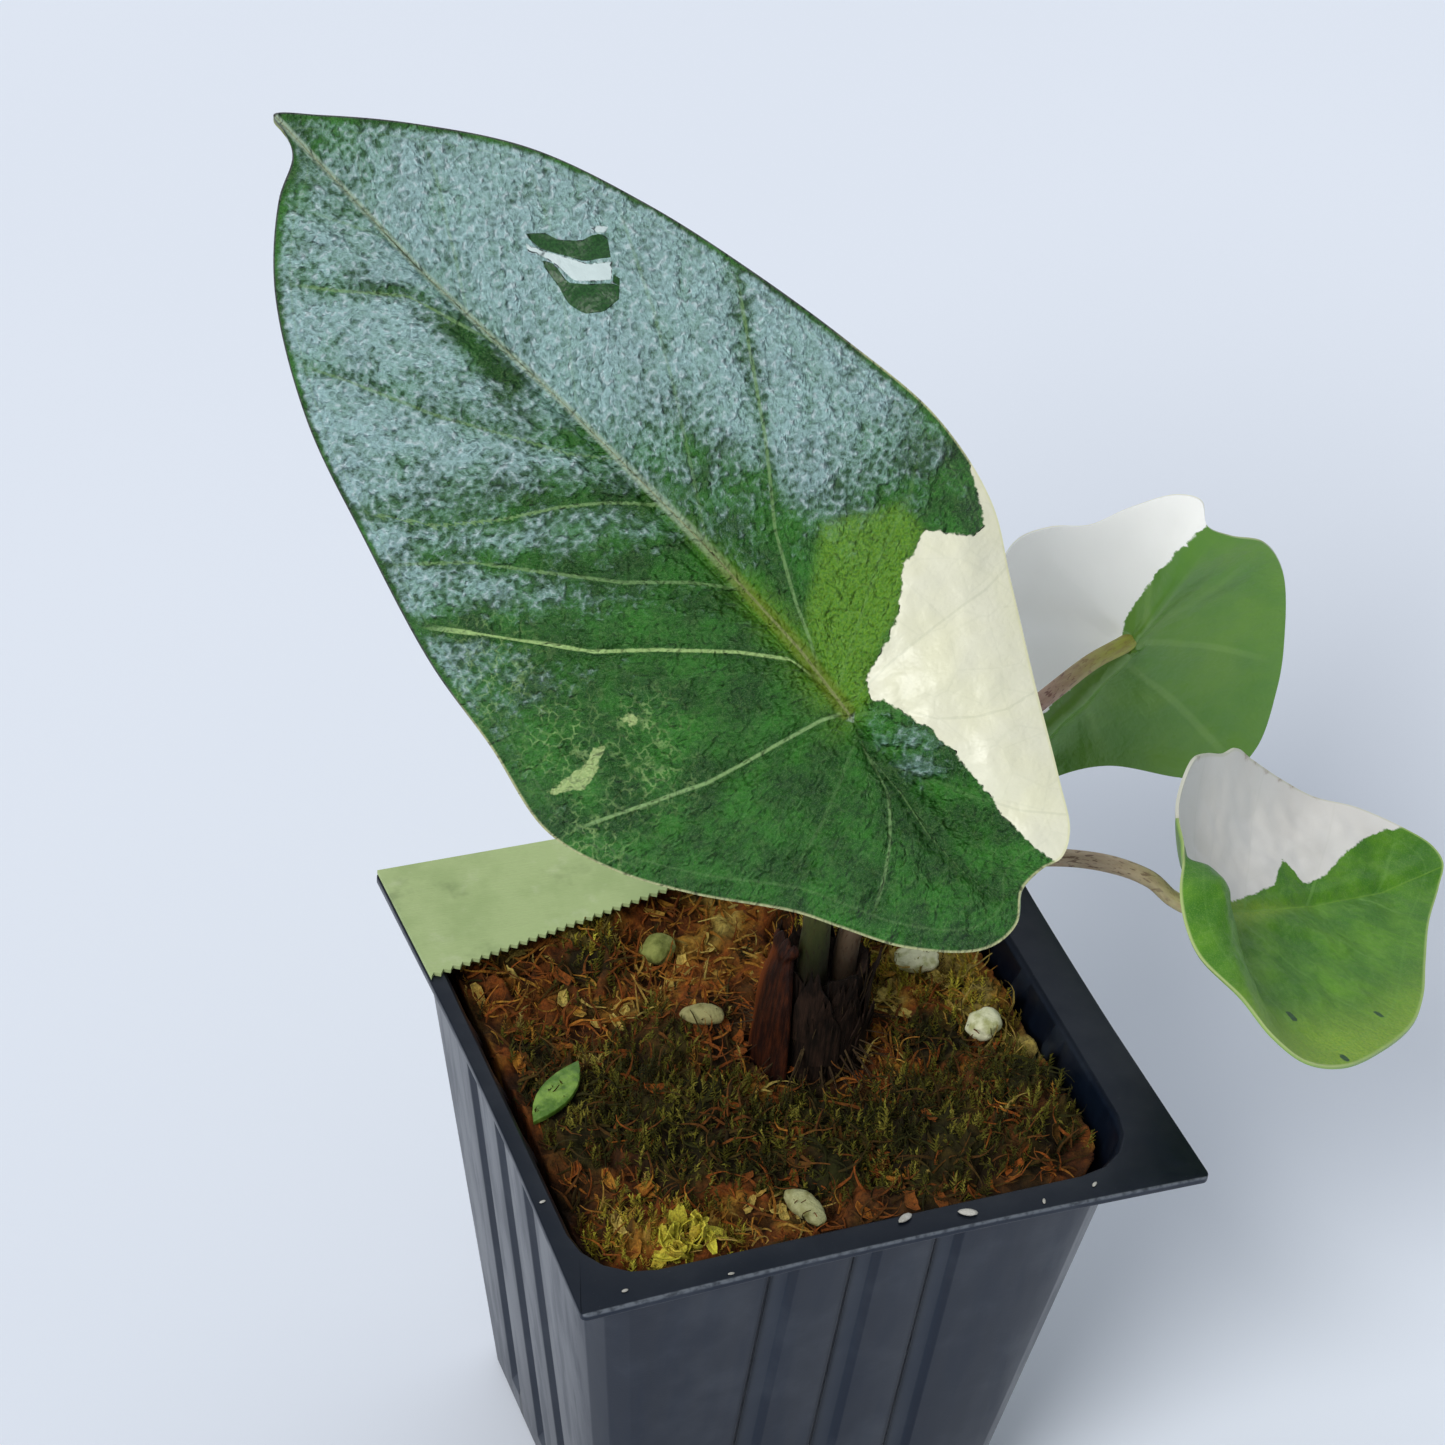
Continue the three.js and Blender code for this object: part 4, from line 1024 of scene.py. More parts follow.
@dataclass(frozen=True)
class MossFibre(Finish):
    """The finish of a kind of moss: colours that a stored tone picks, and painted shade in its hollows."""

    tones: tuple[str, ...]
    hollow_shade: str
    roughness: float = 0.85
    translucent: float = 0.0

    def paint(self, w: Weave) -> None:
        """Paints the moss from its stored tone, and paints shade into its hollows.

        Args:
            w: The material's weave.
        """
        place = w.millimetres()
        patches = w.minus(w.noise(place, 0.32, 4.0, 0.6), 0.5)
        ladder = w.add("ValToRGB", {0: w.math("ADD", w.value("tone"), w.times(patches, 0.5))})
        band = ladder.color_ramp.elements
        while len(band) < len(self.tones):
            band.new(1.0)
        for index, code in enumerate(self.tones):
            band[index].position = index / (len(self.tones) - 1)
            band[index].color = colour(code)
        skin = w.mix(w.times(w.value("hollow_shade"), 0.85), ladder.outputs[0], self.hollow_shade)
        grain = w.ramp(w.noise(place, 2.4, 4.0, 0.7), 0.35, 0.6, 0.5, 0.0)
        w.surface(base_color=w.mix(grain, skin, self.hollow_shade), roughness=self.roughness)
        w.surface(specular_ior_level=0.25, subsurface_weight=self.translucent, subsurface_scale=0.001)
        w.surface(normal=w.bump(w.noise(place, 3.0, 4.0, 0.7), 0.3, 0.8))


@dataclass(frozen=True)
class DryBark(Finish):
    """The finish of dead leaf bases: brown, streaked along their length."""

    dark: str
    light: str
    roughness: float = 0.75
    lit: str = "7A3C16"

    def paint(self, w: Weave) -> None:
        """Paints the bark, streaked upright and reddish where light shines through.

        Args:
            w: The material's weave.
        """
        place = w.millimetres()
        drawn = w.scaled(place, (1.0, 1.0, 0.12))
        skin = w.mix(w.ramp(w.noise(drawn, 1.8, 4.0, 0.65), 0.35, 0.68), self.dark, self.light)
        skin = w.mix(w.times(w.patches(place, 0.4, 0.4, 0.7), 0.5), skin, self.dark)
        skin = w.mix(w.times(w.value("lit"), 0.85), skin, self.lit)
        w.surface(base_color=skin, roughness=self.roughness, specular_ior_level=0.2)
        w.surface(normal=w.bump(w.noise(drawn, 3.5, 4.0, 0.6), 0.25, 0.9))


@dataclass(frozen=True)
class Crumb(Finish):
    """The finish of a pale crumb."""

    pale: str
    stained: str

    def paint(self, w: Weave) -> None:
        """Paints the crumb, stained in patches.

        Args:
            w: The material's weave.
        """
        place = w.millimetres()
        w.surface(base_color=w.mix(w.patches(place, 0.5, 0.42, 0.66), self.pale, self.stained))
        w.surface(roughness=0.8, normal=w.bump(w.noise(place, 2.5, 4.0, 0.7), 0.25, 0.9))


@dataclass(frozen=True)
class FallenLeaf(Finish):
    """The finish of the fallen scrap of leaf."""

    dark: str = "4A7020"
    light: str = "7EA044"

    def paint(self, w: Weave) -> None:
        """Paints the scrap, in patches of two greens.

        Args:
            w: The material's weave.
        """
        place = w.millimetres()
        w.surface(base_color=w.mix(w.patches(place, 0.45, 0.4, 0.62), self.dark, self.light))
        w.surface(roughness=0.45, normal=w.bump(w.noise(place, 1.6, 3.0), 0.3, 0.8))


# Studio


@dataclass
class Studio:
    """A plain pale floor, soft light from above, and the camera at the photograph's angle."""

    eye: Point3 = (-0.1669, -0.3578, 0.4366)
    right: Point3 = (0.9345, -0.3489, 0.0709)
    down: Point3 = (-0.1705, -0.6134, -0.7711)
    lens: float = 115.9
    floor_size: float = 8.0
    floor_code: str = "ECF2FC"
    floor_cloud: str = "E3EAF5"
    sky_code: str = "E8EEF8"
    sky_strength: float = 0.36

    def build(self) -> None:
        """Sets up the floor, the world, the lights and the camera."""
        self._floor()
        self._world()
        self._light("key", (-0.62, -0.42, 0.66), 2.1, 28.0, (1.0, 0.99, 0.97))
        self._light("back", (0.5, 0.9, 1.2), 0.65, 70.0, (0.94, 0.97, 1.0))
        self._camera()
        log.info("studio ready")

    def _floor(self) -> None:
        """Adds the floor, with a faint cloudy tone."""
        bpy.ops.mesh.primitive_plane_add(size=self.floor_size)
        floor = active_piece("studio_floor")
        material, w = new_material("studio_floor")
        clouds = w.ramp(w.noise(w.place(), 3.0, 3.0), 0.3, 0.7)
        w.surface(base_color=w.mix(w.times(clouds, 0.3), self.floor_code, self.floor_cloud), roughness=0.9)
        floor.data.materials.append(material)

    def _world(self) -> None:
        """Lights the room evenly from all round."""
        world = bpy.data.worlds.new("room")
        world.use_nodes = True
        background = world.node_tree.nodes["Background"]
        background.inputs["Color"].default_value = colour(self.sky_code)
        background.inputs["Strength"].default_value = self.sky_strength
        bpy.context.scene.world = world
        bpy.context.scene.view_settings.view_transform = "Standard"

    def _light(self, name: str, direction: Point3, power: float, spread: float, tint: Point3) -> None:
        """Adds one far light as wide as a large window.

        Args:
            name: The light's name.
            direction: Where it stands, seen from the plant.
            power: Its strength in watts on each square metre.
            spread: How wide it looks from the plant, in degrees.
            tint: Its colour.
        """
        bpy.ops.object.light_add(type="SUN", location=direction)
        lamp = bpy.context.active_object
        lamp.name = f"light_{name}"
        lamp.data.energy = power
        lamp.data.angle = math.radians(spread)
        lamp.data.color = tint
        lamp.rotation_euler = Vector(direction).to_track_quat("Z", "Y").to_euler()

    def _camera(self) -> None:
        """Adds the camera from its measured place and directions."""
        right = Vector(self.right).normalized()
        up = -Vector(self.down)
        up = (up - right * up.dot(right)).normalized()
        back = right.cross(up)
        bpy.ops.object.camera_add(location=self.eye)
        camera = bpy.context.active_object
        camera.name = "camera"
        camera.rotation_euler = Matrix((right, up, back)).transposed().to_euler()
        camera.data.lens = self.lens
        camera.data.sensor_width = 36.0
        camera.data.clip_start = 0.01
        bpy.context.scene.camera = camera


# Pot and label


@dataclass
class Pot:
    """The nursery pot with its softened edges, the flakes on its flange, and the tape on its rim.

    Each flake is given by its place, its radius and its turn in degrees.
    """

    edge_width: float = 0.4
    flange_top: float = 70.0
    flakes: tuple[tuple[float, float, float, float], ...] = (
        (3.4, -33.9, 0.8, 20.0),
        (10.5, -35.1, 0.85, -30.0),
        (-30.0, -35.3, 0.35, 10.0),
        (19.5, -35.8, 0.3, 70.0),
        (-18.0, -36.2, 0.3, 0.0),
        (26.0, -35.0, 0.35, 40.0),
        (-34.2, -20.0, 0.3, 15.0),
    )

    def build(self, nodes: dict[str, Piece]) -> None:
        """Makes the fine copies of the pot and the tape, and the flakes.

        Args:
            nodes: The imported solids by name.
        """
        pot = copy_of(nodes["pot"], "pot_shell")
        edges = {"width": self.edge_width * MM, "segments": 3, "angle_limit": math.radians(20)}
        apply_modifier(pot, "BEVEL", limit_method="ANGLE", **edges)
        smooth(pot, 35)
        seat(pot, PotPlastic("pot_plastic").build(), "pot_plastic", "pot")
        self._scatter_flakes()
        tape = copy_of(nodes["label_tape"], "paper_tape", quads=False)
        smooth(tape, 30)
        seat(tape, LabelPaper("label_paper").build(), "label_paper", "label_tape")

    def _scatter_flakes(self) -> None:
        """Puts a few pale flakes on the flange."""
        flakes = []
        for x, y, size, turn in self.flakes:
            bpy.ops.mesh.primitive_ico_sphere_add(subdivisions=2, radius=size * MM)
            flake = bpy.context.active_object
            points = points_of(flake)
            swell = [1 + 0.35 * noise.noise(Vector(p) * 900 + Vector((x, y, 0))) for p in points]
            points *= np.array(swell)[:, None] * np.array([1.3, 0.6, 0.3])
            spin = Matrix.Rotation(math.radians(turn), 3, "Z")
            points = points @ np.array(spin).T
            points += np.array([x, y, self.flange_top]) * MM
            points[:, 2] += self.flange_top * MM - points[:, 2].min()
            move_points(flake, points)
            flakes.append(flake)
        join(flakes)
        joined = active_piece("flange_crumbs")
        smooth(joined, 60)
        seat(joined, Crumb("flange_crumb", "C6C4BC", "9A988E").build(), "perlite")


# Blades


@dataclass(frozen=True)
class Vein:
    """A side vein: its course as distances out from the midrib and along it, and its strength."""

    course: Outline
    strength: float

    def along(self, out: np.ndarray) -> np.ndarray:
        """Gives how far along the blade the vein lies at each distance from the midrib.

        Args:
            out: Distances from the midrib.

        Returns:
            One number for each distance. Past its end the vein runs straight on.
        """
        course = np.array(self.course)
        last = (course[-1] - course[-2]) / (course[-1, 0] - course[-2, 0])
        course = np.vstack([course, course[-1] + last * 30])
        return np.interp(out, course[:, 0], course[:, 1])


@dataclass
class Layout:
    """Where each vertex lies on a blade and among its veins, one number of each kind.

    A side vein is where the phase is a whole number, and a step is the distance for a phase of 1.
    """

    x: np.ndarray
    y: np.ndarray
    margin: np.ndarray
    rib: np.ndarray
    phase: np.ndarray
    step: np.ndarray
    strength: np.ndarray
    slope: np.ndarray

    def from_vein(self) -> np.ndarray:
        """Gives the distance to the nearest side vein."""
        return np.abs(self.phase - np.rint(self.phase)) * self.step

    def shown_strength(self) -> np.ndarray:
        """Gives the strength of the nearest vein, fading towards the edge."""
        return self.strength * ease(0.0, 7.0, self.margin)


@dataclass
class Blade:
    """One leaf blade, in its own frame: x across, y along the midrib, z out of the upper face."""

    name: str
    node: str
    slot: str
    attachment: Point3
    along: Point3
    facing: Point3
    ribs: tuple[tuple[float, float, float, float], ...]
    midline: Outline
    left: tuple[Vein, ...]
    right: tuple[Vein, ...]
    cream: Outline
    skin: LeafSkin
    # The silvery tint with its painted reflection: where it starts on the left and the right, its lowest
    # share, and how far it takes to rise on each side.
    silver_and_sheen_from: Point2 = (999.0, 999.0)
    silver_and_sheen_low: float = 0.0
    silver_and_sheen_rise: Point2 = (16.0, 16.0)
    shade_past_vein: float = 0.0
    glare: tuple[Point3, ...] = ()
    lime: Outline = ()
    lime_fade: float = 0.9
    scar_dark: tuple[Outline, ...] = ()
    scar_pale: tuple[Outline, ...] = ()
    pale_spot: tuple[Outline, ...] = ()
    # How strongly painted shade darkens the short groove left of the midrib.
    fold_shade: float = 0.0
    net: tuple[Point3, ...] = ()
    brown: tuple[Point3, ...] = ()
    pale_edge_below: float = 0.0
    spokes: int = 384
    rings: int = 84
    rib_line: float = 1.0
    thick: float = 0.4
    rib_thick: float = 1.5
    vein_dip: float = 0.22
    rib_dip: float = 0.4
    quilt: float = 0.45
    dents: float = 0.5

    @property
    def length(self) -> float:
        """Gives how far the blade reaches from its attachment to its tip."""
        return max(point[1] for point in self.ribs)

    def build(self) -> None:
        """Makes the blade."""
        bpy.ops.mesh.primitive_grid_add(x_subdivisions=self.spokes, y_subdivisions=self.rings, size=1)
        blade = active_piece(self.name)
        out, local = self._surface(points_of(blade))
        reach = np.hypot(local[:, 0], local[:, 1])
        layout = self._laid_out(local, (1 - out) * reach / np.maximum(out, 0.05))
        for name, values in self._marks(layout).items():
            write_values(blade, name, values)
        self._weigh(blade, layout)
        raised = local + self._relief(local, layout)[:, None] * np.array([0.0, 0.0, 1.0])
        move_points(blade, self._to_world(raised))
        self._close(blade)
        smooth(blade, 60)
        seat(blade, self.skin.build(), self.slot, self.node)

    def _surface(self, grid: np.ndarray) -> tuple[np.ndarray, np.ndarray]:
        """Rolls the flat grid up into the blade's upper face.

        Args:
            grid: The grid's vertices, from -0.5 to 0.5 both ways.

        Returns:
            How far out each vertex lies, from 0 to 1, and its place in the blade's frame.
        """
        ribs = np.array(self.ribs)
        margin = through(ribs[:, :3], self.spokes, closed=True)
        halves = np.column_stack([ribs[:, 0] / 2, ribs[:, 1] / 2, ribs[:, 2] / 2 + ribs[:, 3]])
        middle = through(halves, self.spokes, closed=True)
        spoke = np.rint((grid[:, 0] + 0.5) * self.spokes).astype(int) % self.spokes
        out = np.clip(grid[:, 1] + 0.5, 0, 1) ** 0.9
        share = out[:, None]
        local = middle[spoke] * (4 * share * (1 - share)) + margin[spoke] * (share * (2 * share - 1))
        return out, local

    def _laid_out(self, local: np.ndarray, margin: np.ndarray) -> Layout:
        """Finds where each vertex lies among the veins.

        Args:
            local: The vertices in the blade's frame.
            margin: Each vertex's distance to the blade's edge.

        Returns:
            The layout.
        """
        x, y = local[:, 0], local[:, 1]
        course = np.array(sorted(self.midline, key=lambda point: point[1]))
        rib = x - np.interp(y, course[:, 1], course[:, 0])
        phase, step, strength, slope = (np.zeros(len(rib)) for _ in range(4))
        for side, veins in ((rib < 0, self.left), (rib >= 0, self.right)):
            out, v = np.abs(rib[side]), y[side]
            heights = np.array([vein.along(out) for vein in veins])
            slopes = np.array([vein.along(out + 1.0) for vein in veins]) - heights
            heights = np.maximum.accumulate(heights, axis=0) + np.arange(len(veins))[:, None] * 0.01
            low = np.clip((heights <= v).sum(axis=0) - 1, 0, len(veins) - 2)
            pick = np.arange(len(out))
            gap = heights[low + 1, pick] - heights[low, pick]
            share = np.clip((v - heights[low, pick]) / np.maximum(gap, 0.05), -0.49, 1.49)
            part = np.clip(share, 0, 1)
            slope[side] = slopes[low, pick] * (1 - part) + slopes[low + 1, pick] * part
            phase[side] = low + share
            step[side] = gap / np.hypot(1, slope[side])
            nearest = np.clip(np.rint(low + share), 0, len(veins) - 1).astype(int)
            strength[side] = np.array([vein.strength for vein in veins])[nearest]
        return Layout(x, y, margin, rib, phase, step, strength, slope)

    def _marks(self, at: Layout) -> dict[str, np.ndarray]:
        """Works out all that the finish reads from the mesh.

        Args:
            at: Where the vertices lie.

        Returns:
            An array of numbers or vectors for each attribute's name.
        """
        x, y, slope = at.x, at.y, at.slope
        lime = self._rib_glow(at)
        if self.lime:
            zone = inside_distance(x, y, self.lime)
            lime = np.maximum(lime, ease(-self.lime_fade, self.lime_fade, zone))
        marks = {
            "leaf_place": np.column_stack([x, y, np.zeros_like(x)]),
            "flow": np.column_stack([np.sign(at.rib), slope, 0 * x]) / np.hypot(1, slope)[:, None],
            "rib": at.rib,
            "rib_width": self.rib_line * (1 - 0.6 * ease(0, 0.5, y / self.length)) * ease(-1.0, 0.5, y),
            "vein_phase": at.phase,
            "vein_step": at.step,
            "vein_strength": at.shown_strength(),
            "margin": at.margin,
            "edge_tone": ease(-4.0, 4.0, y - self.pale_edge_below),
            "cream": inside_distance(x, y, self.cream),
            "silver_and_sheen": self._silver_and_sheen(at),
            "valley_shade": self._valley_shade(at),
            "lime": lime,
            "brown": spots(x, y, self.brown),
            "net": spots(x, y, self.net),
        }
        for name in ("scar_dark", "scar_pale", "pale_spot"):
            depths = [inside_distance(x, y, outline) for outline in getattr(self, name)]
            marks[name] = np.max(depths, axis=0) if depths else 0 * x - 9
        return marks

    def _rib_glow(self, at: Layout) -> np.ndarray:
        """Gives the lime tint that spreads from the attachment along the midrib.

        Args:
            at: Where the vertices lie.

        Returns:
            One number for each vertex.
        """
        share = at.y / self.length
        glow = ridge(at.rib, 0.9 + 2.0 * ease(0.3, 0.0, share))
        return 0.9 * glow * ease(0.5, 0.15, share) * ease(-3.0, 1.0, at.y)

    def _valley_shade(self, at: Layout) -> np.ndarray:
        """Gives the painted shade in the blade's valleys, from 0 to 1: beside the stronger side veins, along
        the midrib below the attachment, and in a short groove left of the midrib.

        Args:
            at: Where the vertices lie.

        Returns:
            One number for each vertex.
        """
        beside = 0.75 * ease(0.1, 0.6, at.strength) * ridge(at.from_vein(), 1.1)
        notch = ridge(at.rib, 0.9) * ease(0.0, -3.0, at.y)
        lap = self.fold_shade * ridge(at.rib + 2.2, 1.7) * ease(47.0, 55.0, at.y) * ease(68.0, 60.0, at.y)
        return np.clip(np.maximum(beside, np.maximum(notch, lap)), 0, 1)

    def _silver_and_sheen(self, at: Layout) -> np.ndarray:
        """Gives how silvery the upper face is, from 0 to 1: partly the leaf's metallic tint, partly a
        painted reflection of the light. On the left half, painted shade falls in bands past each side vein.
        On the right half it is weaker near the lower midrib. Painted glare spots lie near the attachment,
        and the shaded valleys get none.

        Args:
            at: Where the vertices lie.

        Returns:
            One number for each vertex.
        """
        y, rib, left = at.y, at.rib, at.rib < 0
        start = np.where(left, *self.silver_and_sheen_from)
        risen = ease(0.0, 1.0, (y - start) / np.where(left, *self.silver_and_sheen_rise))
        silver_and_sheen = self.silver_and_sheen_low + (1 - self.silver_and_sheen_low) * risen
        silver_and_sheen *= ease(-8.0, 0.0, y - start) * ease(0.0, 1.5, at.margin) * (1 - 0.5 * ease(76.0, 92.0, y))
        past = at.phase - np.floor(at.phase)
        shade = self.shade_past_vein * ease(0.7, 0.15, past) * ease(0.0, 0.08, past)
        shade *= ease(0.5, 9.0, at.margin)
        shade *= 1 - 0.65 * ease(34.0, 60.0, y)
        inner = self.shade_past_vein * ease(13.0, 7.0, rib) * ease(48.0, 26.0, y)
        silver_and_sheen *= 1 - np.where(left, shade, inner)
        return np.maximum(silver_and_sheen, 0.55 * spots(rib, y, self.glare)) * (1 - self._valley_shade(at))

    def _relief(self, local: np.ndarray, at: Layout) -> np.ndarray:
        """Gives how far each vertex rises or dips, for sunken veins and the quilting between.

        Args:
            local: The vertices in the blade's frame.
            at: Where they lie among the veins.

        Returns:
            One number for each vertex, in millimetres.
        """
        fade = ease(0.0, 6.0, at.margin)
        dip = self.vein_dip * at.shown_strength() * ridge(at.from_vein(), 0.8)
        quilt = self.quilt * (1 - ridge(at.from_vein(), 2.5)) * fade
        rib = self.rib_dip * ridge(at.rib, 1.1) * ease(0.0, 8.0, at.margin)
        waves = cloud(local, (0.2, 0.2, 0.0), 3.0) + 0.35 * cloud(local, (0.55, 0.55, 0.0), 9.0)
        return quilt - dip - rib + self.dents * waves * fade

    def _weigh(self, blade: Piece, at: Layout) -> None:
        """Stores how thick the blade is at each vertex, thickest at the midrib's foot.

        Args:
            blade: The blade.
            at: Where its vertices lie.
        """
        taper = (1 - 0.7 * np.clip(at.y / self.length, 0, 1)) * ease(-1.0, 0.5, at.y)
        thick = ridge(at.rib, 1.3) * taper * ease(0.5, 4.0, at.margin)
        levels = np.rint(thick * 20).astype(int)
        group = blade.vertex_groups.new(name="thickness")
        for level in range(21):
            group.add(np.flatnonzero(levels == level).tolist(), level / 20, "REPLACE")

    def _to_world(self, local: np.ndarray) -> np.ndarray:
        """Moves points from the blade's frame to the plant's.

        Args:
            local: The points in millimetres.

        Returns:
            The points in metres.
        """
        facing = np.array(self.facing) / np.linalg.norm(self.facing)
        along = np.array(self.along) - facing * np.dot(self.along, facing)
        along /= np.linalg.norm(along)
        axes = np.vstack([np.cross(along, facing), along, facing])
        return (np.array(self.attachment) + local @ axes) * MM

    def _close(self, blade: Piece) -> None:
        """Joins the rolled grid's seam and middle, and gives the sheet its thickness.

        Args:
            blade: The blade.
        """
        with editing(blade):
            bpy.ops.mesh.remove_doubles(threshold=1e-6)
        upper = len(blade.data.vertices)
        shape = {"thickness": self.rib_thick * MM, "thickness_vertex_group": self.thick / self.rib_thick}
        apply_modifier(blade, "SOLIDIFY", offset=-1.0, vertex_group="thickness", **shape)
        write_values(blade, "underside", np.arange(len(blade.data.vertices)) >= upper)


# Petioles


@dataclass
class Stalk:
    """One petiole: a slim round stalk from the crown to its blade."""

    name: str
    node: str
    route: tuple[Point3, ...]
    foot_radius: float
    head_radius: float
    skin: StalkSkin
    steps: int = 90
    sides: int = 8

    def build(self) -> None:
        """Makes the stalk by sweeping a round section along its route."""
        path = through(np.array(self.route), self.steps, closed=False)
        curve = bpy.data.curves.new(self.name, "CURVE")
        curve.dimensions = "3D"
        curve.bevel_depth = MM
        curve.bevel_resolution = self.sides
        curve.use_fill_caps = True
        spline = curve.splines.new("POLY")
        spline.points.add(len(path) - 1)
        shares = np.arange(len(path)) / (len(path) - 1)
        slim, closing = ease(0.0, 0.6, shares), ease(0.955, 1.0, shares)
        for index, place in enumerate(path):
            radius = self.foot_radius + (self.head_radius - self.foot_radius) * float(slim[index])
            radius += 0.06 * noise.noise(Vector((shares[index] * 14, self.foot_radius, 0)))
            spline.points[index].co = (*(place * MM), 1.0)
            spline.points[index].radius = radius * (1 - 0.6 * float(closing[index]))
        new_piece(self.name, curve)
        bpy.ops.object.convert(target="MESH")
        stalk = active_piece(self.name)
        self._measure(stalk, path)
        smooth(stalk, 60)
        seat(stalk, self.skin.build(), "petiole_skin", self.node)

    def _measure(self, stalk: Piece, path: np.ndarray) -> None:
        """Stores each vertex's place round and along the stalk, for markings that follow it.

        Args:
            stalk: The stalk.
            path: The line that it follows, in millimetres.
        """
        points = points_of(stalk) / MM
        nearest = np.array([np.argmin(np.sum((path - point) ** 2, axis=1)) for point in points])
        length = np.concatenate([[0], np.cumsum(np.linalg.norm(np.diff(path, axis=0), axis=1))])
        x, y, z = (points - path[nearest]).T
        write_values(stalk, "stalk_place", np.column_stack([x, y + z, length[nearest] * 0.35]))


# Moss

# Each patch of the bed, where one kind of moss or one tone prevails, is a middle and a radius.
GREEN_PATCHES = (
    (-22, -3, 8.5), (-13, -10, 11), (1, -16, 8.8), (14, -18, 10.5), (24, -17, 9),
    (-12, 5, 5), (-25, 8, 4), (20, -3, 4.5), (-16, 17, 4), (16, 14, 4),
)
GOLD_PATCHES = (
    (-25, -24, 5.6), (-19, -26.5, 5.4), (-27.5, -27.5, 4.0), (28, 0, 5.4),
    (18, 9, 4.6), (25, 7, 4.5), (14, 15, 4.2), (-14, 23, 3.4),
)
GOLD_LEAVES = (-20.0, -28.6, 3.2)
RUST_PATCHES = (
    (-14, 20, 22), (6, 24, 20), (22, 12, 14), (-9, -24, 7), (29, -10, 8), (14, -5, 6),
    (-28, 12, 10), (-18, -14, 4), (8, -21, 5), (21, -11, 6), (-4, -7, 5), (-20, 0, 4),
)
STRAW_PATCHES = (
    (30, -6, 5.5), (17, 4.5, 5), (-14, 25, 6), (27, 1, 9), (22, -20, 5), (-26, 22, 5),
)
MOSS_PATCHES = {Moss.GREEN: GREEN_PATCHES, Moss.GOLD: GOLD_PATCHES, Moss.BROWN: RUST_PATCHES}
MOSS_FINISHES = {
    Moss.BROWN: MossFibre(
        "brown_moss", ("303208", "4E3D10", "78481A", "A4561C", "C08A30", "D0B860"), "1A1006"
    ),
    Moss.GREEN: MossFibre("green_moss", ("30300A", "4E4E10", "74701C", "A49A3C"), "1A180A", 0.75, 0.05),
    Moss.GOLD: MossFibre("gold_moss", ("66561A", "A49224", "DCD448", "D09C3C"), "3E2E0C", 0.7, 0.05),
}


def patch_depth(patches: tuple[Point3, ...], x: np.ndarray, y: np.ndarray) -> np.ndarray:
    """Gives how deep in any of some patches each place lies.

    Args:
        patches: Each patch's middle and radius.
        x: Across, one number for each place.
        y: Back, one number for each place.

    Returns:
        1 in the middle of a patch, falling evenly to 0 at its edge, and 0 outside them all.
    """
    depths = [1 - np.hypot(x - middle_x, y - middle_y) / radius for middle_x, middle_y, radius in patches]
    return np.maximum(0, np.max(depths, axis=0))


class Ground:
    """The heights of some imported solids, read by dropping rays on them."""

    def __init__(self, *solids: Piece) -> None:
        """Prepares the solids for the rays."""
        self.trees = [
            BVHTree.FromPolygons(points_of(solid).tolist(), [face.vertices for face in solid.data.polygons])
            for solid in solids
        ]

    def height(self, x: float, y: float) -> float | None:
        """Gives the height at a place, or None where there is no solid.

        Args:
            x: Across, in millimetres.
            y: Back, in millimetres.

        Returns:
            The height in millimetres.
        """
        start = Vector((x * MM, y * MM, 0.1))
        hits = [tree.ray_cast(start, Vector((0, 0, -1)))[0] for tree in self.trees]
        heights = [hit.z / MM for hit in hits if hit is not None]
        return max(heights) if heights else None


@dataclass
class Template:
    """A small modelled shape, kept as arrays, that is set down many times."""

    points: np.ndarray
    faces: list[tuple[int, ...]]

    @classmethod
    def taken_from(cls, piece: Piece) -> Template:
        """Keeps a modelled piece's shape and removes the piece.

        Args:
            piece: The modelled piece.

        Returns:
            The template.
        """
        faces = [tuple(face.vertices) for face in piece.data.polygons]
        template = cls(points_of(piece), faces)
        bpy.data.objects.remove(piece)
        return template


@dataclass
class Copy:
    """One copy of a template: its place, turn and size, and the tone of its colour."""

    template: Template
    place: Matrix
    tone: float
    # How much painted shade darkens the copy, from 0 to 1.
    hollow_shade: float = 0.0

    def points(self) -> np.ndarray:
        """Gives the copy's vertices in metres, one row each."""
        turn = np.array(self.place)
        return self.template.points @ turn[:3, :3].T + turn[:3, 3]


def set_down(name: str, copies: list[Copy], material: Material, slot: str, *nodes: str) -> None:
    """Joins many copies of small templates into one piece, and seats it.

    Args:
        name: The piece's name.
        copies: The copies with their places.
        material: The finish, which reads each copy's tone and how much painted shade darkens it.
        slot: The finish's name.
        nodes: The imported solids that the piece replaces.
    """
    points, faces, tones, hollow_shades = [], [], [], []
    start = 0
    for copy in copies:
        moved = copy.points()
        points.append(moved)
        faces.extend(tuple(start + index for index in face) for face in copy.template.faces)
        tones.append(np.full(len(moved), copy.tone))
        hollow_shades.append(np.full(len(moved), copy.hollow_shade))
        start += len(moved)
    mesh = bpy.data.meshes.new(name)
    mesh.from_pydata(np.vstack(points).tolist(), [], faces)
    piece = new_piece(name, mesh)
    write_values(piece, "tone", np.concatenate(tones))
    write_values(piece, "hollow_shade", np.concatenate(hollow_shades))
    smooth(piece, 50)
    seat(piece, material, slot, *nodes)


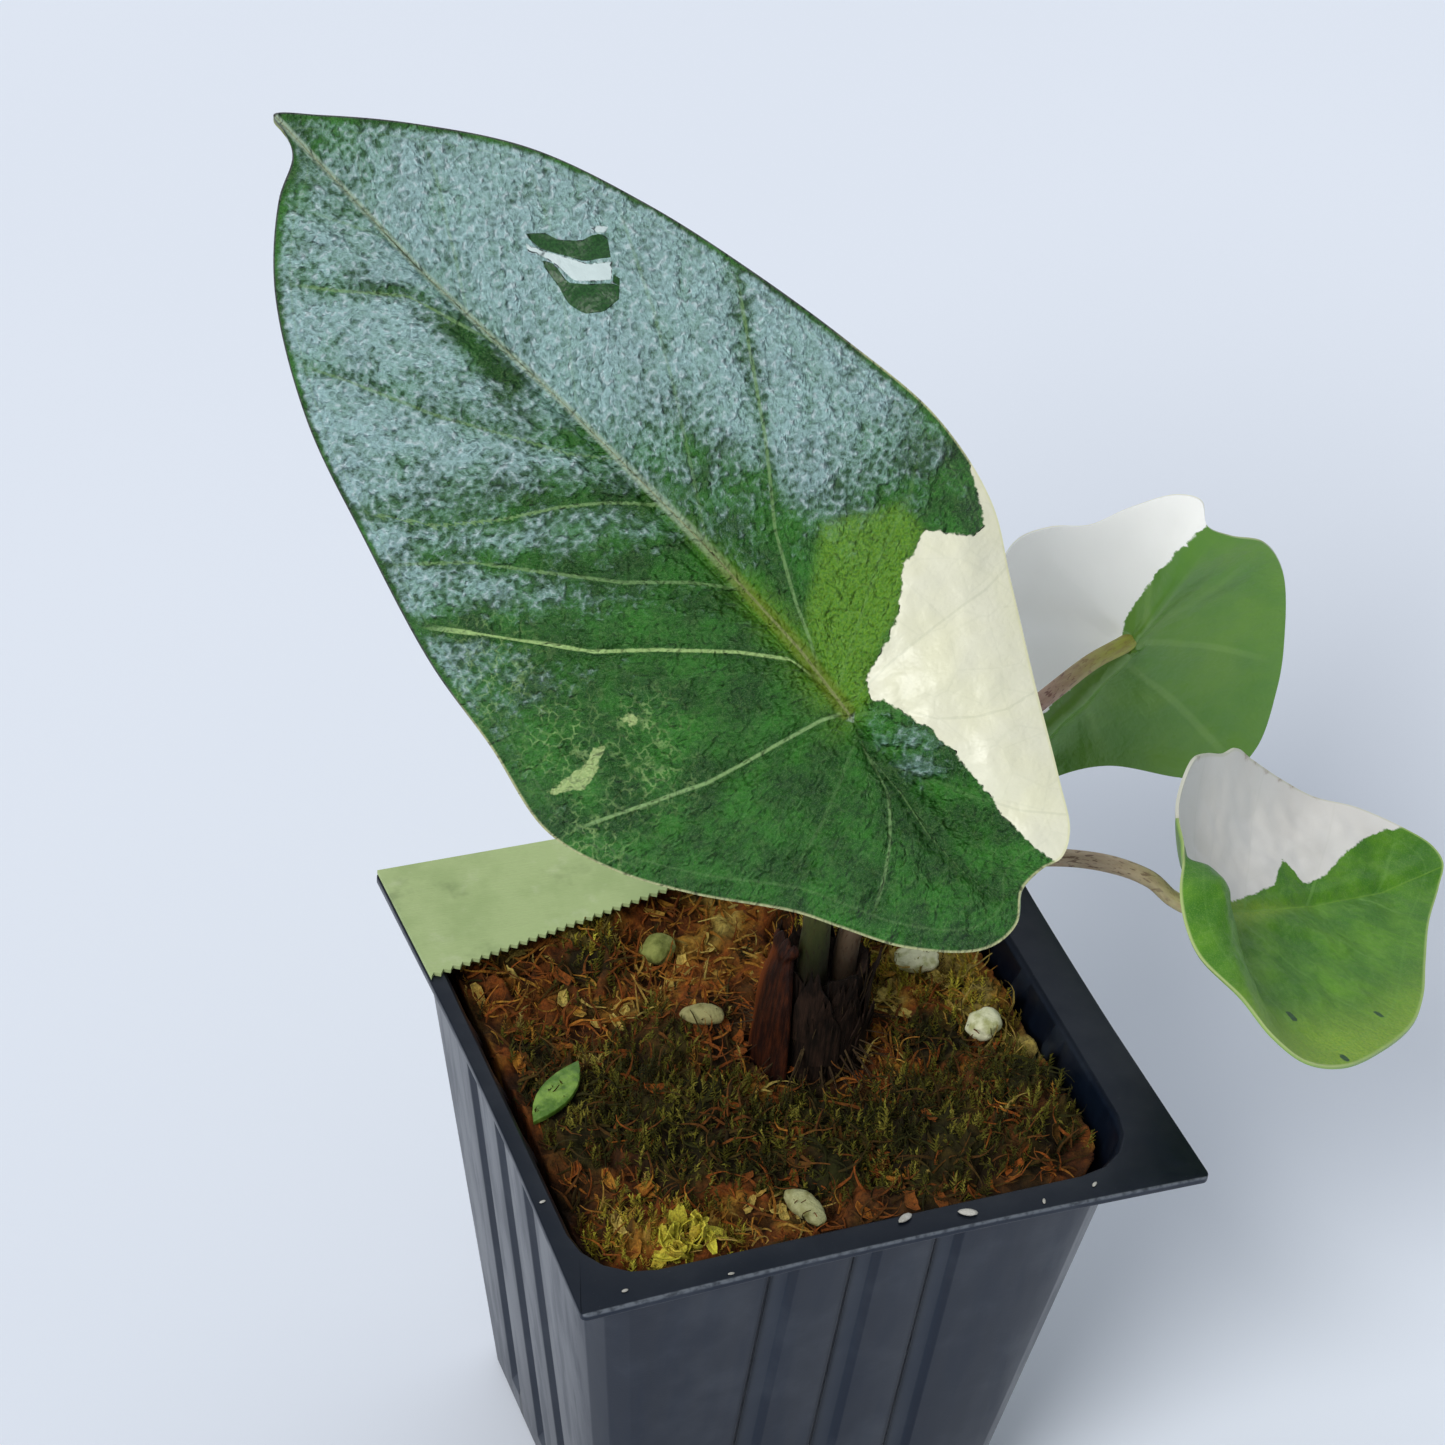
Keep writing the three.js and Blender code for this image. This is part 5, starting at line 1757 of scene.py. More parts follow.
@dataclass
class MossBed:
    """The lumpy moss that fills the pot, with its fibres, feathery fronds and dead scraps.

    The bed is a square with round corners, given by half its width and their radius. Under the
    tape nothing may rise above the tape's level.
    """

    half: float = 31.0
    corner: float = 6.5
    cells: int = 170
    skirt: float = 24.0
    lowest: float = 62.5
    tape_level: float = 69.7
    fibres: int = 2300
    fronds: int = 2100
    gold_fronds: int = 720
    brown_fronds: int = 500
    scraps: int = 190
    gold_leaves: int = 30
    seed: int = 7

    def build(self, nodes: dict[str, Piece]) -> None:
        """Makes the bed and all that lies and grows on it.

        Args:
            nodes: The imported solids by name.
        """
        self.random = random.Random(self.seed)
        self.ground = Ground(nodes["sphagnum_bed"], nodes["green_moss"], nodes["gold_moss"])
        self.cover = Ground(nodes["label_tape"])
        self.finishes = {kind: finish.build() for kind, finish in MOSS_FINISHES.items()}
        self._floor()
        fibres = [self._fibre_template() for _ in range(9)]
        brown, gold = self.finishes[Moss.BROWN], self.finishes[Moss.GOLD]
        copies = self._strewn(self.fibres, 71.0, partial(self._fibre, fibres))
        set_down("moss_fibres", copies, brown, "brown_moss")
        scraps = [self._scrap_template() for _ in range(6)]
        copies = self._strewn(self.scraps, 71.5, partial(self._scrap, scraps))
        set_down("dead_scraps", copies, brown, "brown_moss")
        copies = self._strewn(self.gold_leaves, 72.5, partial(self._gold_leaf, scraps))
        set_down("gold_leaves", copies, gold, "gold_moss")
        fronds = [self._frond_template() for _ in range(6)]
        counts = {Moss.GREEN: self.fronds, Moss.GOLD: self.gold_fronds, Moss.BROWN: self.brown_fronds}
        for kind, count in counts.items():
            copies = self._strewn(count, 72.0, partial(self._frond, kind, fronds))
            slot = f"{kind.value}_moss"
            replaced = () if kind is Moss.BROWN else (slot,)
            set_down(f"{kind.value}_fronds", copies, self.finishes[kind], slot, *replaced)

    def _lies_on_bed(self, x: float, y: float, margin: float) -> bool:
        """Tells whether a place lies inside the bed's round-cornered outline by a margin.

        Args:
            x: Across, in millimetres.
            y: Back, in millimetres.
            margin: How far inside the outline it has to lie.

        Returns:
            Whether it does.
        """
        straight = self.half - margin - self.corner
        return math.hypot(max(0.0, abs(x) - straight), max(0.0, abs(y) - straight)) < self.corner

    def _floor(self) -> None:
        """Makes the moss's surface, with crumbly relief, and a skirt down inside the pot."""
        bpy.ops.mesh.primitive_grid_add(
            x_subdivisions=self.cells, y_subdivisions=self.cells, size=2 * self.half * MM
        )
        floor = active_piece("moss_floor")
        points = points_of(floor) / MM
        points[:, 2] = [self._surface_height(x, y) for x, y, _ in points]
        crumbs = np.array([self._crumb(point) for point in points])
        points[:, 2] += crumbs
        move_points(floor, points * MM)
        write_values(floor, "tone", self._tones(points[:, 0], points[:, 1]))
        # Painted shade: the moss is darker where its crumbly relief dips.
        write_values(floor, "hollow_shade", np.clip(0.62 - crumbs * 0.7, 0.25, 1))
        self._trim(floor)
        smooth(floor, 180)
        seat(floor, self.finishes[Moss.BROWN], "brown_moss", "sphagnum_bed")

    def _surface_height(self, x: float, y: float) -> float:
        """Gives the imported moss's height at a place, or that of its nearest edge.

        Args:
            x: Across, in millimetres.
            y: Back, in millimetres.

        Returns:
            The height in millimetres.
        """
        pull = 1.0
        height = None
        while height is None and pull > 0.6:
            height = self.ground.height(x * pull, y * pull)
            pull -= 0.02
        return max(height or 0.0, self.lowest)

    def _crumb(self, point: np.ndarray) -> float:
        """Gives the fine relief of the moss at a place: crumbs with hollows between them.

        Args:
            point: The place in millimetres.

        Returns:
            How far the moss rises there, in millimetres.
        """
        place = Vector((point[0], point[1], point[2] * 0.5))
        lumps = noise.noise(place * 0.2) * 1.2 + noise.noise(place * 0.55) * 0.9
        return max(-2.0, min(0.8, lumps + 0.5 * noise.noise(place * 1.5) - 0.2))

    def _tones(self, x: np.ndarray, y: np.ndarray) -> np.ndarray:
        """Gives the bed's tone: from dark green over brown to rust and straw.

        Args:
            x: Across, one number for each place.
            y: Back, one number for each place.

        Returns:
            One number from 0 to 1 for each place.
        """
        rust = ease(0, 0.5, patch_depth(RUST_PATCHES, x, y))
        straw = ease(0, 0.6, patch_depth(STRAW_PATCHES, x, y))
        gold = ease(0, 0.5, patch_depth(GOLD_PATCHES, x, y))
        green = ease(0, 0.3, patch_depth(GREEN_PATCHES, x, y))
        clouds = cloud(np.column_stack([x, y, 0 * x]), (0.17, 0.17, 0.0), 4.0)
        tone = 0.36 + 0.3 * rust + 0.25 * straw + 0.3 * gold
        return np.clip(tone * (1 - 0.65 * green) + 0.5 * clouds, 0.0, 1.0)

    def _trim(self, floor: Piece) -> None:
        """Cuts the grid to the round-cornered outline and draws its edge down into the pot.

        Args:
            floor: The moss's surface.
        """
        with editing(floor):
            bpy.ops.mesh.select_mode(type="VERT")
            bpy.ops.mesh.select_all(action="DESELECT")
        for vertex in floor.data.vertices:
            vertex.select = not self._lies_on_bed(vertex.co.x / MM, vertex.co.y / MM, 0.2)
        bpy.ops.object.mode_set(mode="EDIT")
        bpy.ops.mesh.delete(type="VERT")
        bpy.ops.mesh.select_all(action="SELECT")
        bpy.ops.mesh.region_to_loop()
        bpy.ops.mesh.extrude_region_move(TRANSFORM_OT_translate={"value": (0, 0, -self.skirt * MM)})
        bpy.ops.transform.resize(value=(0.86, 0.86, 1.0), center_override=(0.0, 0.0, 0.04))
        bpy.ops.mesh.edge_face_add()
        bpy.ops.mesh.select_all(action="SELECT")
        bpy.ops.mesh.normals_make_consistent(inside=False)
        bpy.ops.object.mode_set(mode="OBJECT")

    def _spot(self, margin: float) -> Point3 | None:
        """Picks a random place on the bed.

        Args:
            margin: How far inside the bed's outline it has to lie.

        Returns:
            The place with the moss's height, or None where there is no moss.
        """
        x, y = (self.random.uniform(-self.half, self.half) for _ in range(2))
        height = self.ground.height(x, y) if self._lies_on_bed(x, y, margin) else None
        return None if height is None else (x, y, height)

    def _spot_in(self, patch: Point3, margin: float) -> Point3 | None:
        """Picks a random place in a patch of the bed.

        Args:
            patch: The patch's middle and radius.
            margin: How far inside the bed's outline the place has to lie.

        Returns:
            The place with the moss's height, or None where there is no moss.
        """
        reach = patch[2] * math.sqrt(self.random.random())
        angle = self.random.uniform(0, 2 * math.pi)
        x, y = patch[0] + reach * math.cos(angle), patch[1] + reach * math.sin(angle)
        height = self.ground.height(x, y) if self._lies_on_bed(x, y, margin) else None
        return None if height is None else (x, y, height)

    def _strewn(self, count: int, ceiling: float, pick: Callable[[], Copy | None]) -> list[Copy]:
        """Draws copies until enough of them lie clear.

        Args:
            count: How many are wanted.
            ceiling: The height that none may pass.
            pick: Draws one copy, or None where nothing can lie.

        Returns:
            The copies that lie clear of the pot's wall, the tape and the ceiling.
        """
        copies: list[Copy] = []
        while len(copies) < count:
            copy = pick()
            if copy is not None and self._clear(copy, ceiling):
                copies.append(copy)
        return copies

    def _clear(self, copy: Copy, ceiling: float) -> bool:
        """Tells whether a copy stays inside the pot's mouth, under the tape and under a ceiling.

        Args:
            copy: The copy.
            ceiling: The height that it may not pass.

        Returns:
            Whether it does.
        """
        points = copy.points() / MM
        top = points[np.argmax(points[:, 2])]
        if np.abs(points[:, :2]).max() > self.half + 0.4 or top[2] > ceiling:
            return False
        return top[2] < self.tape_level or self.cover.height(top[0], top[1]) is None

    def _turned(self, spot: Point3, lean: float, size: float, lift: float) -> Matrix:
        """Gives the placing of a copy that leans by an angle towards a random side.

        Args:
            spot: Where it stands.
            lean: How far it leans from upright, in radians.
            size: How large it is.
            lift: How far above the moss it starts.

        Returns:
            The placing.
        """
        spin = Matrix.Rotation(self.random.uniform(0, 2 * math.pi), 4, "Z")
        shift = Matrix.Translation(Vector((spot[0], spot[1], spot[2] + lift)) * MM)
        return shift @ spin @ Matrix.Rotation(lean, 4, "X") @ Matrix.Scale(size, 4)

    def _fibre_template(self) -> Template:
        """Models a curled fibre by drawing a small section out and turning it as it goes.

        Returns:
            The fibre.
        """
        bpy.ops.mesh.primitive_circle_add(vertices=3, radius=0.13 * MM, fill_type="NGON")
        fibre = bpy.context.active_object
        with editing(fibre):
            heading = Vector((0.0, 0.0, 1.0))
            place = Vector((0.0, 0.0, 0.0))
            bend = Vector((self.random.uniform(-1, 1), self.random.uniform(-1, 1), 0)).normalized()
            for step in range(7):
                stride = heading * 0.62 * MM
                bpy.ops.mesh.extrude_region_move(TRANSFORM_OT_translate={"value": stride})
                place += stride
                slim = 1.15 if step < 2 else 0.8
                bpy.ops.transform.resize(value=(slim, slim, slim), center_override=place)
                axis = heading.cross(bend).normalized()
                turn = Matrix.Rotation(self.random.uniform(0.05, 0.6), 3, axis)
                heading = (turn @ heading).normalized()
                bend = (bend + Vector([self.random.uniform(-0.6, 0.6) for _ in range(3)])).normalized()
        return Template.taken_from(fibre)

    def _fibre(self, templates: list[Template]) -> Copy | None:
        """Draws a thin fibre, brown, straw or green as the moss below it.

        Args:
            templates: The modelled fibres.

        Returns:
            The fibre, or None where there is no moss.
        """
        spot = self._spot(1.0)
        if spot is None:
            return None
        lean = self.random.uniform(0.5, 1.7)
        place = self._turned(spot, lean, self.random.uniform(0.6, 1.35), self.random.uniform(-0.5, 0.4))
        tone = float(self._tones(np.array([spot[0]]), np.array([spot[1]]))[0])
        template = self.random.choice(templates)
        tone += self.random.gauss(0.05, 0.16)
        return Copy(template, place, tone, self.random.uniform(0.0, 0.5))

    def _scrap_template(self) -> Template:
        """Models a curled scrap of dead leaf.

        Returns:
            The scrap.
        """
        bpy.ops.mesh.primitive_grid_add(x_subdivisions=2, y_subdivisions=4, size=1)
        scrap = bpy.context.active_object
        x, y = points_of(scrap)[:, :2].T
        taper = 0.25 + 0.75 * np.cos(y * 2.4)
        curl = self.random.uniform(0.5, 1.6)
        across = x * taper * self.random.uniform(1.1, 1.8)
        rise = curl * (1 - np.cos(y * 2)) + 0.7 * np.abs(x) * taper
        ragged = [self.random.uniform(-0.18, 0.18) for _ in x]
        move_points(scrap, np.column_stack([across + ragged, y * 3.0, rise]) * MM)
        apply_modifier(scrap, "SOLIDIFY", thickness=0.12 * MM, offset=0.0)
        return Template.taken_from(scrap)

    def _scrap(self, templates: list[Template]) -> Copy | None:
        """Draws a scrap of dead leaf, which seldom lies on the green moss.

        Args:
            templates: The modelled scraps.

        Returns:
            The scrap, or None where none lies.
        """
        spot = self._spot(1.5)
        if spot is None:
            return None
        x, y = np.array([spot[0]]), np.array([spot[1]])
        gold = patch_depth(GOLD_PATCHES, x, y)[0] > 0.1
        if patch_depth(GREEN_PATCHES, x, y)[0] > 0.25 and self.random.random() < 0.8:
            return None
        size = self.random.uniform(0.6, 1.25 if gold else 1.1)
        place = self._turned(spot, self.random.gauss(0.0, 0.6), size, self.random.uniform(-0.2, 0.3))
        tone = self.random.uniform(0.8, 1.1) if gold else float(self._tones(x, y)[0]) + 0.25
        return Copy(self.random.choice(templates), place, tone + self.random.gauss(0, 0.1))

    def _gold_leaf(self, templates: list[Template]) -> Copy | None:
        """Draws one of the upright, ruffled yellow leaves that stand beside the golden tuft.

        Args:
            templates: The modelled scraps of leaf.

        Returns:
            The leaf, or None where there is no moss.
        """
        anywhere = -self.half
        spot = self._spot_in(GOLD_LEAVES, anywhere)
        if spot is None:
            return None
        lean = self.random.uniform(0.5, 1.6)
        place = self._turned(spot, lean, self.random.uniform(0.8, 1.5), 1.0)
        return Copy(self.random.choice(templates), place, self.random.uniform(0.5, 0.8))

    def _frond_template(self) -> Template:
        """Models a feathery frond: a bowed stem with slim pointed leaves on both sides.

        Returns:
            The frond.
        """
        leaves = []
        bow = self.random.uniform(0.15, 0.5)
        for level in range(11):
            share = level / 10
            side = 1 if level % 2 else -1
            bpy.ops.mesh.primitive_cone_add(vertices=3, radius1=0.13 * MM, radius2=0.0, depth=MM)
            leaf = bpy.context.active_object
            points = points_of(leaf) / MM
            points[:, 2] = (points[:, 2] + 0.5) * (1.15 - 0.5 * share)
            tip = side * (1.0 - 0.7 * share) + self.random.uniform(-0.25, 0.25)
            turn = Matrix.Rotation(self.random.uniform(-0.9, 0.9), 3, "Z") @ Matrix.Rotation(tip, 3, "Y")
            points = points @ np.array(turn).T
            points[:, 2] += 2.6 * share
            points[:, 1] += bow * share * share * 2.6
            move_points(leaf, points * MM)
            leaves.append(leaf)
        return Template.taken_from(join(leaves))

    def _frond(self, kind: Moss, templates: list[Template]) -> Copy | None:
        """Draws a frond of one kind of moss in one of its patches, more often in a large one.

        Args:
            kind: Which moss it is.
            templates: The modelled fronds.

        Returns:
            The frond, or None where there is no moss.
        """
        patches = MOSS_PATCHES[kind]
        x, y, radius = self.random.choices(patches, [patch[2] ** 2 for patch in patches])[0]
        spot = self._spot_in((x, y, radius * 1.15), 0.8)
        if spot is None:
            return None
        lean = abs(self.random.gauss(0.5, 0.55))
        place = self._turned(spot, lean, self.random.uniform(0.5, 1.1), -0.7)
        clouds = 0.5 + noise.noise(Vector((spot[0], spot[1], 9.0)) * 0.22)
        tone = min(1.0, max(0.0, clouds + self.random.uniform(-0.35, 0.35)))
        return Copy(self.random.choice(templates), place, tone, self.random.uniform(0, 0.45))


# Crown


@dataclass
class Crown:
    """The bristly neck of old leaf bases that the petioles rise from, and its dry sheath."""

    middle: Point2 = (6.5, 0.5)
    foot: float = 58.0
    top: float = 78.6
    radius: float = 5.6
    rise_steps: int = 14
    fibres: int = 420
    fan_fibres: int = 90
    bases: int = 26
    base_turn: float = 47.0
    base_levels: Point2 = (62.0, 70.5)
    sheath_arc: Point2 = (138.0, 238.0)
    seed: int = 3

    def build(self, nodes: dict[str, Piece]) -> None:
        """Makes the neck, its fibres and the sheath.

        Args:
            nodes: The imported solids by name.
        """
        self.random = random.Random(self.seed)
        bark = DryBark("crown_bark", "120B06", "33231A").build()
        self._neck(bark)
        self._leaf_bases(bark)
        self._bristles()
        self._sheath(nodes["dry_sheath"])

    def _beside(self, angle: float, reach: float, level: float) -> Matrix:
        """Gives the placing of a copy that stands beside the neck and turns its back to it.

        Args:
            angle: Where round the neck, in radians.
            reach: How far from the neck's middle.
            level: How high.

        Returns:
            The placing.
        """
        x = self.middle[0] + reach * math.cos(angle)
        y = self.middle[1] + reach * math.sin(angle)
        return Matrix.Translation(Vector((x, y, level)) * MM) @ Matrix.Rotation(angle, 4, "Z")

    def _neck(self, bark: Material) -> None:
        """Makes the neck as a ridged ring, hollow at the top.

        Args:
            bark: The finish of the neck.
        """
        x, y = self.middle
        foot = (x * MM, y * MM, self.foot * MM)
        bpy.ops.mesh.primitive_circle_add(
            vertices=72, radius=self.radius * MM, fill_type="NGON", location=foot
        )
        neck = active_piece("crown_neck")
        bpy.ops.object.transform_apply(location=True)
        with editing(neck):
            centre = (x * MM, y * MM, 0.0)
            rise = (self.top - self.foot) / self.rise_steps
            for step in range(self.rise_steps):
                bpy.ops.mesh.extrude_region_move(TRANSFORM_OT_translate={"value": (0, 0, rise * MM)})
                if step > self.rise_steps / 2:
                    bpy.ops.transform.resize(value=(0.985, 0.985, 1), center_override=centre)
            for inward, drop in ((0.86, -0.5), (0.8, -2.2), (0.7, -1.2), (0.4, -0.4)):
                bpy.ops.mesh.inset(thickness=0.0001 * MM)
                bpy.ops.transform.resize(value=(inward, inward, 1), center_override=centre)
                bpy.ops.transform.translate(value=(0, 0, drop * MM))
        points = points_of(neck) / MM
        level = points[:, 2].copy()
        angle = np.arctan2(points[:, 1] - y, points[:, 0] - x)
        outward = np.column_stack([np.cos(angle), np.sin(angle)])
        ridges = cloud(np.column_stack([outward, level]), (5.0, 5.0, 0.12))
        laps = 0.35 * np.abs(np.sin(angle * 2.5 + level * 0.05))
        points[:, :2] += (0.3 * ridges - laps)[:, None] * outward
        ragged = ease(self.top - 3, self.top, level) * 1.6 * np.sin(angle * 4 + 1)
        points[:, 2] += np.minimum(ragged, 0.3)
        move_points(neck, points * MM)
        smooth(neck, 50)
        seat(neck, bark, "crown_brown", "crown")

    def _base_template(self) -> Template:
        """Models the dry base of one old leaf: a curved strip that ends in a torn point.

        Returns:
            The leaf base.
        """
        bpy.ops.mesh.primitive_grid_add(x_subdivisions=6, y_subdivisions=10, size=1)
        strip = bpy.context.active_object
        x, y = points_of(strip)[:, :2].T
        share = y + 0.5
        across = x * 4.2 * (1 - 0.75 * ease(0.45, 1.0, share))
        up = 10.5 * share + 0.8 * np.sin(x * 9) * ease(0.6, 1.0, share)
        out = 0.55 * ease(0.6, 1.0, share) - across**2 / (2 * self.radius)
        move_points(strip, np.column_stack([out, across, up]) * MM)
        apply_modifier(strip, "SOLIDIFY", thickness=0.22 * MM, offset=0.0)
        return Template.taken_from(strip)

    def _leaf_bases(self, bark: Material) -> None:
        """Sets old leaf bases round the neck, so that they overlap and reach to unequal heights.

        Args:
            bark: The finish of the bases.
        """
        template = self._base_template()
        copies = []
        for number in range(self.bases):
            angle = math.radians(self.sheath_arc[1] + self.base_turn * number)
            if self.sheath_arc[0] < math.degrees(angle) % 360 < self.sheath_arc[1]:
                continue
            reach = self.radius + 0.1 * (number % 3)
            place = self._beside(angle, reach, self.random.uniform(*self.base_levels))
            lean = Matrix.Rotation(self.random.uniform(-0.05, 0.03), 4, "Y")
            size = Matrix.Scale(self.random.uniform(0.8, 1.05), 4)
            copies.append(Copy(template, place @ lean @ size, 0.5))
        set_down("leaf_bases", copies, bark, "crown_brown")

    def _bristle_template(self) -> Template:
        """Models a stiff dry fibre.

        Returns:
            The fibre.
        """
        long = 6 * MM
        bpy.ops.mesh.primitive_cone_add(vertices=4, radius1=0.2 * MM, radius2=0.05 * MM, depth=long)
        fibre = bpy.context.active_object
        with editing(fibre):
            bpy.ops.mesh.subdivide(number_cuts=2)
        points = points_of(fibre)
        share = points[:, 2] / long + 0.5
        points[:, 2] += long / 2
        points[:, 0] += self.random.uniform(-0.5, 0.9) * MM * share**2
        points[:, 1] += self.random.uniform(-0.5, 0.5) * MM * share**2
        move_points(fibre, points)
        return Template.taken_from(fibre)

    def _bristles(self) -> None:
        """Sets dry fibres round the neck: most upright against it, some fanning out at its foot."""
        templates = [self._bristle_template() for _ in range(5)]
        copies = []
        for number in range(self.fibres + self.fan_fibres):
            fanned = number >= self.fibres
            angle = self.random.uniform(0, 2 * math.pi)
            level = self.random.uniform(self.foot + 5, self.top - (9.0 if fanned else 3.5))
            reach = self.radius - 0.25 + self.random.uniform(-0.2, 0.15)
            tip = self.random.uniform(1.2, 2.4) if fanned else self.random.gauss(-0.04, 0.1)
            place = self._beside(angle, reach, level) @ Matrix.Rotation(tip, 4, "Y")
            place = place @ Matrix.Scale(self.random.uniform(0.5, 0.95), 4)
            tone = self.random.uniform(0.5, 1.0) if fanned else self.random.random()
            copies.append(Copy(self.random.choice(templates), place, tone, 0.3))
        finish = MossFibre("crown_fibre", ("120C07", "241810", "3E2C1A", "5E4C30"), "0E0804")
        set_down("crown_bristles", copies, finish.build(), "crown_brown")

    def _sheath(self, node: Piece) -> None:
        """Makes the sheath's fine copy, crinkled along its length.

        Args:
            node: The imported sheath.
        """
        sheath = copy_of(node, "papery_sheath")
        apply_modifier(sheath, "SUBSURF", levels=3, render_levels=3)
        points = points_of(sheath) / MM
        crinkle = cloud(points, (0.9, 0.9, 0.18))
        outward = points[:, :2] - np.array(self.middle)
        outward /= np.linalg.norm(outward, axis=1)[:, None]
        points[:, :2] += 0.3 * crinkle[:, None] * outward
        tip = points[points[:, 2] > points[:, 2].max() - 1.6].mean(axis=0)
        knob = ease(2.4, 0.8, np.linalg.norm(points - tip, axis=1))
        points += (points - tip) * (0.9 * knob)[:, None] * np.array([1, 1, 0.3])
        move_points(sheath, points * MM)
        write_values(sheath, "lit", self._lit_edge(points) * (1 - knob))
        smooth(sheath, 60)
        seat(sheath, DryBark("sheath_paper", "1E0C07", "46200E", 0.6).build(), "dry_sheath", "dry_sheath")

    def _lit_edge(self, points: np.ndarray) -> np.ndarray:
        """Finds the sheath's left edge, where light shines through.

        Args:
            points: The sheath's vertices in millimetres.

        Returns:
            1 along that edge and 0 elsewhere, one number for each vertex.
        """
        x, y = self.middle
        angle = np.degrees(np.arctan2(points[:, 1] - y, points[:, 0] - x)) % 360
        level = np.rint(points[:, 2]).astype(int)
        edge = {z: angle[level == z].min() for z in np.unique(level)}
        return 1 - ease(6.0, 20.0, angle - np.array([edge[z] for z in level]))


# Loose bits


@dataclass
class LooseBits:
    """The pale crumbs of perlite and the fallen leaf bit on the moss."""

    crumbs: tuple[Crumb, ...] = (
        Crumb("clean_perlite", "EAEAC4", "B4B67A"),
        Crumb("mossy_perlite", "AFAF7E", "827F46"),
        Crumb("clean_perlite", "EAEAC4", "B4B67A"),
        Crumb("tan_perlite", "A09A66", "746E3A"),
        Crumb("green_perlite", "90964E", "626A26"),
    )

    def build(self, nodes: dict[str, Piece]) -> None:
        """Makes the fine copies of the bits.

        Args:
            nodes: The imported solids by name.
        """
        finishes = {crumb: crumb.build() for crumb in dict.fromkeys(self.crumbs)}
        for number, crumb in enumerate(self.crumbs, 1):
            node = f"pale_bit_{number}"
            bit = copy_of(nodes[node], f"perlite_{number}", quads=False)
            apply_modifier(bit, "SUBSURF", levels=2, render_levels=2)
            points = points_of(bit) / MM
            centre = points.mean(axis=0)
            pits = np.array([noise.multi_fractal(Vector(p) * 0.9, 0.8, 2.0, 3) - 1 for p in points])
            points += (points - centre) * (0.12 + 0.12 * np.clip(pits, -1, 0.4))[:, None]
            move_points(bit, points * MM)
            smooth(bit, 70)
            seat(bit, finishes[crumb], "perlite", node)
        scrap = copy_of(nodes["green_leaf_bit"], "leaf_scrap", quads=False)
        apply_modifier(scrap, "BEVEL", width=0.15 * MM, segments=2, limit_method="ANGLE")
        smooth(scrap, 50)
        seat(scrap, FallenLeaf("leaf_scrap").build(), "leaf_bit", "green_leaf_bit")


# The plant's own leaves


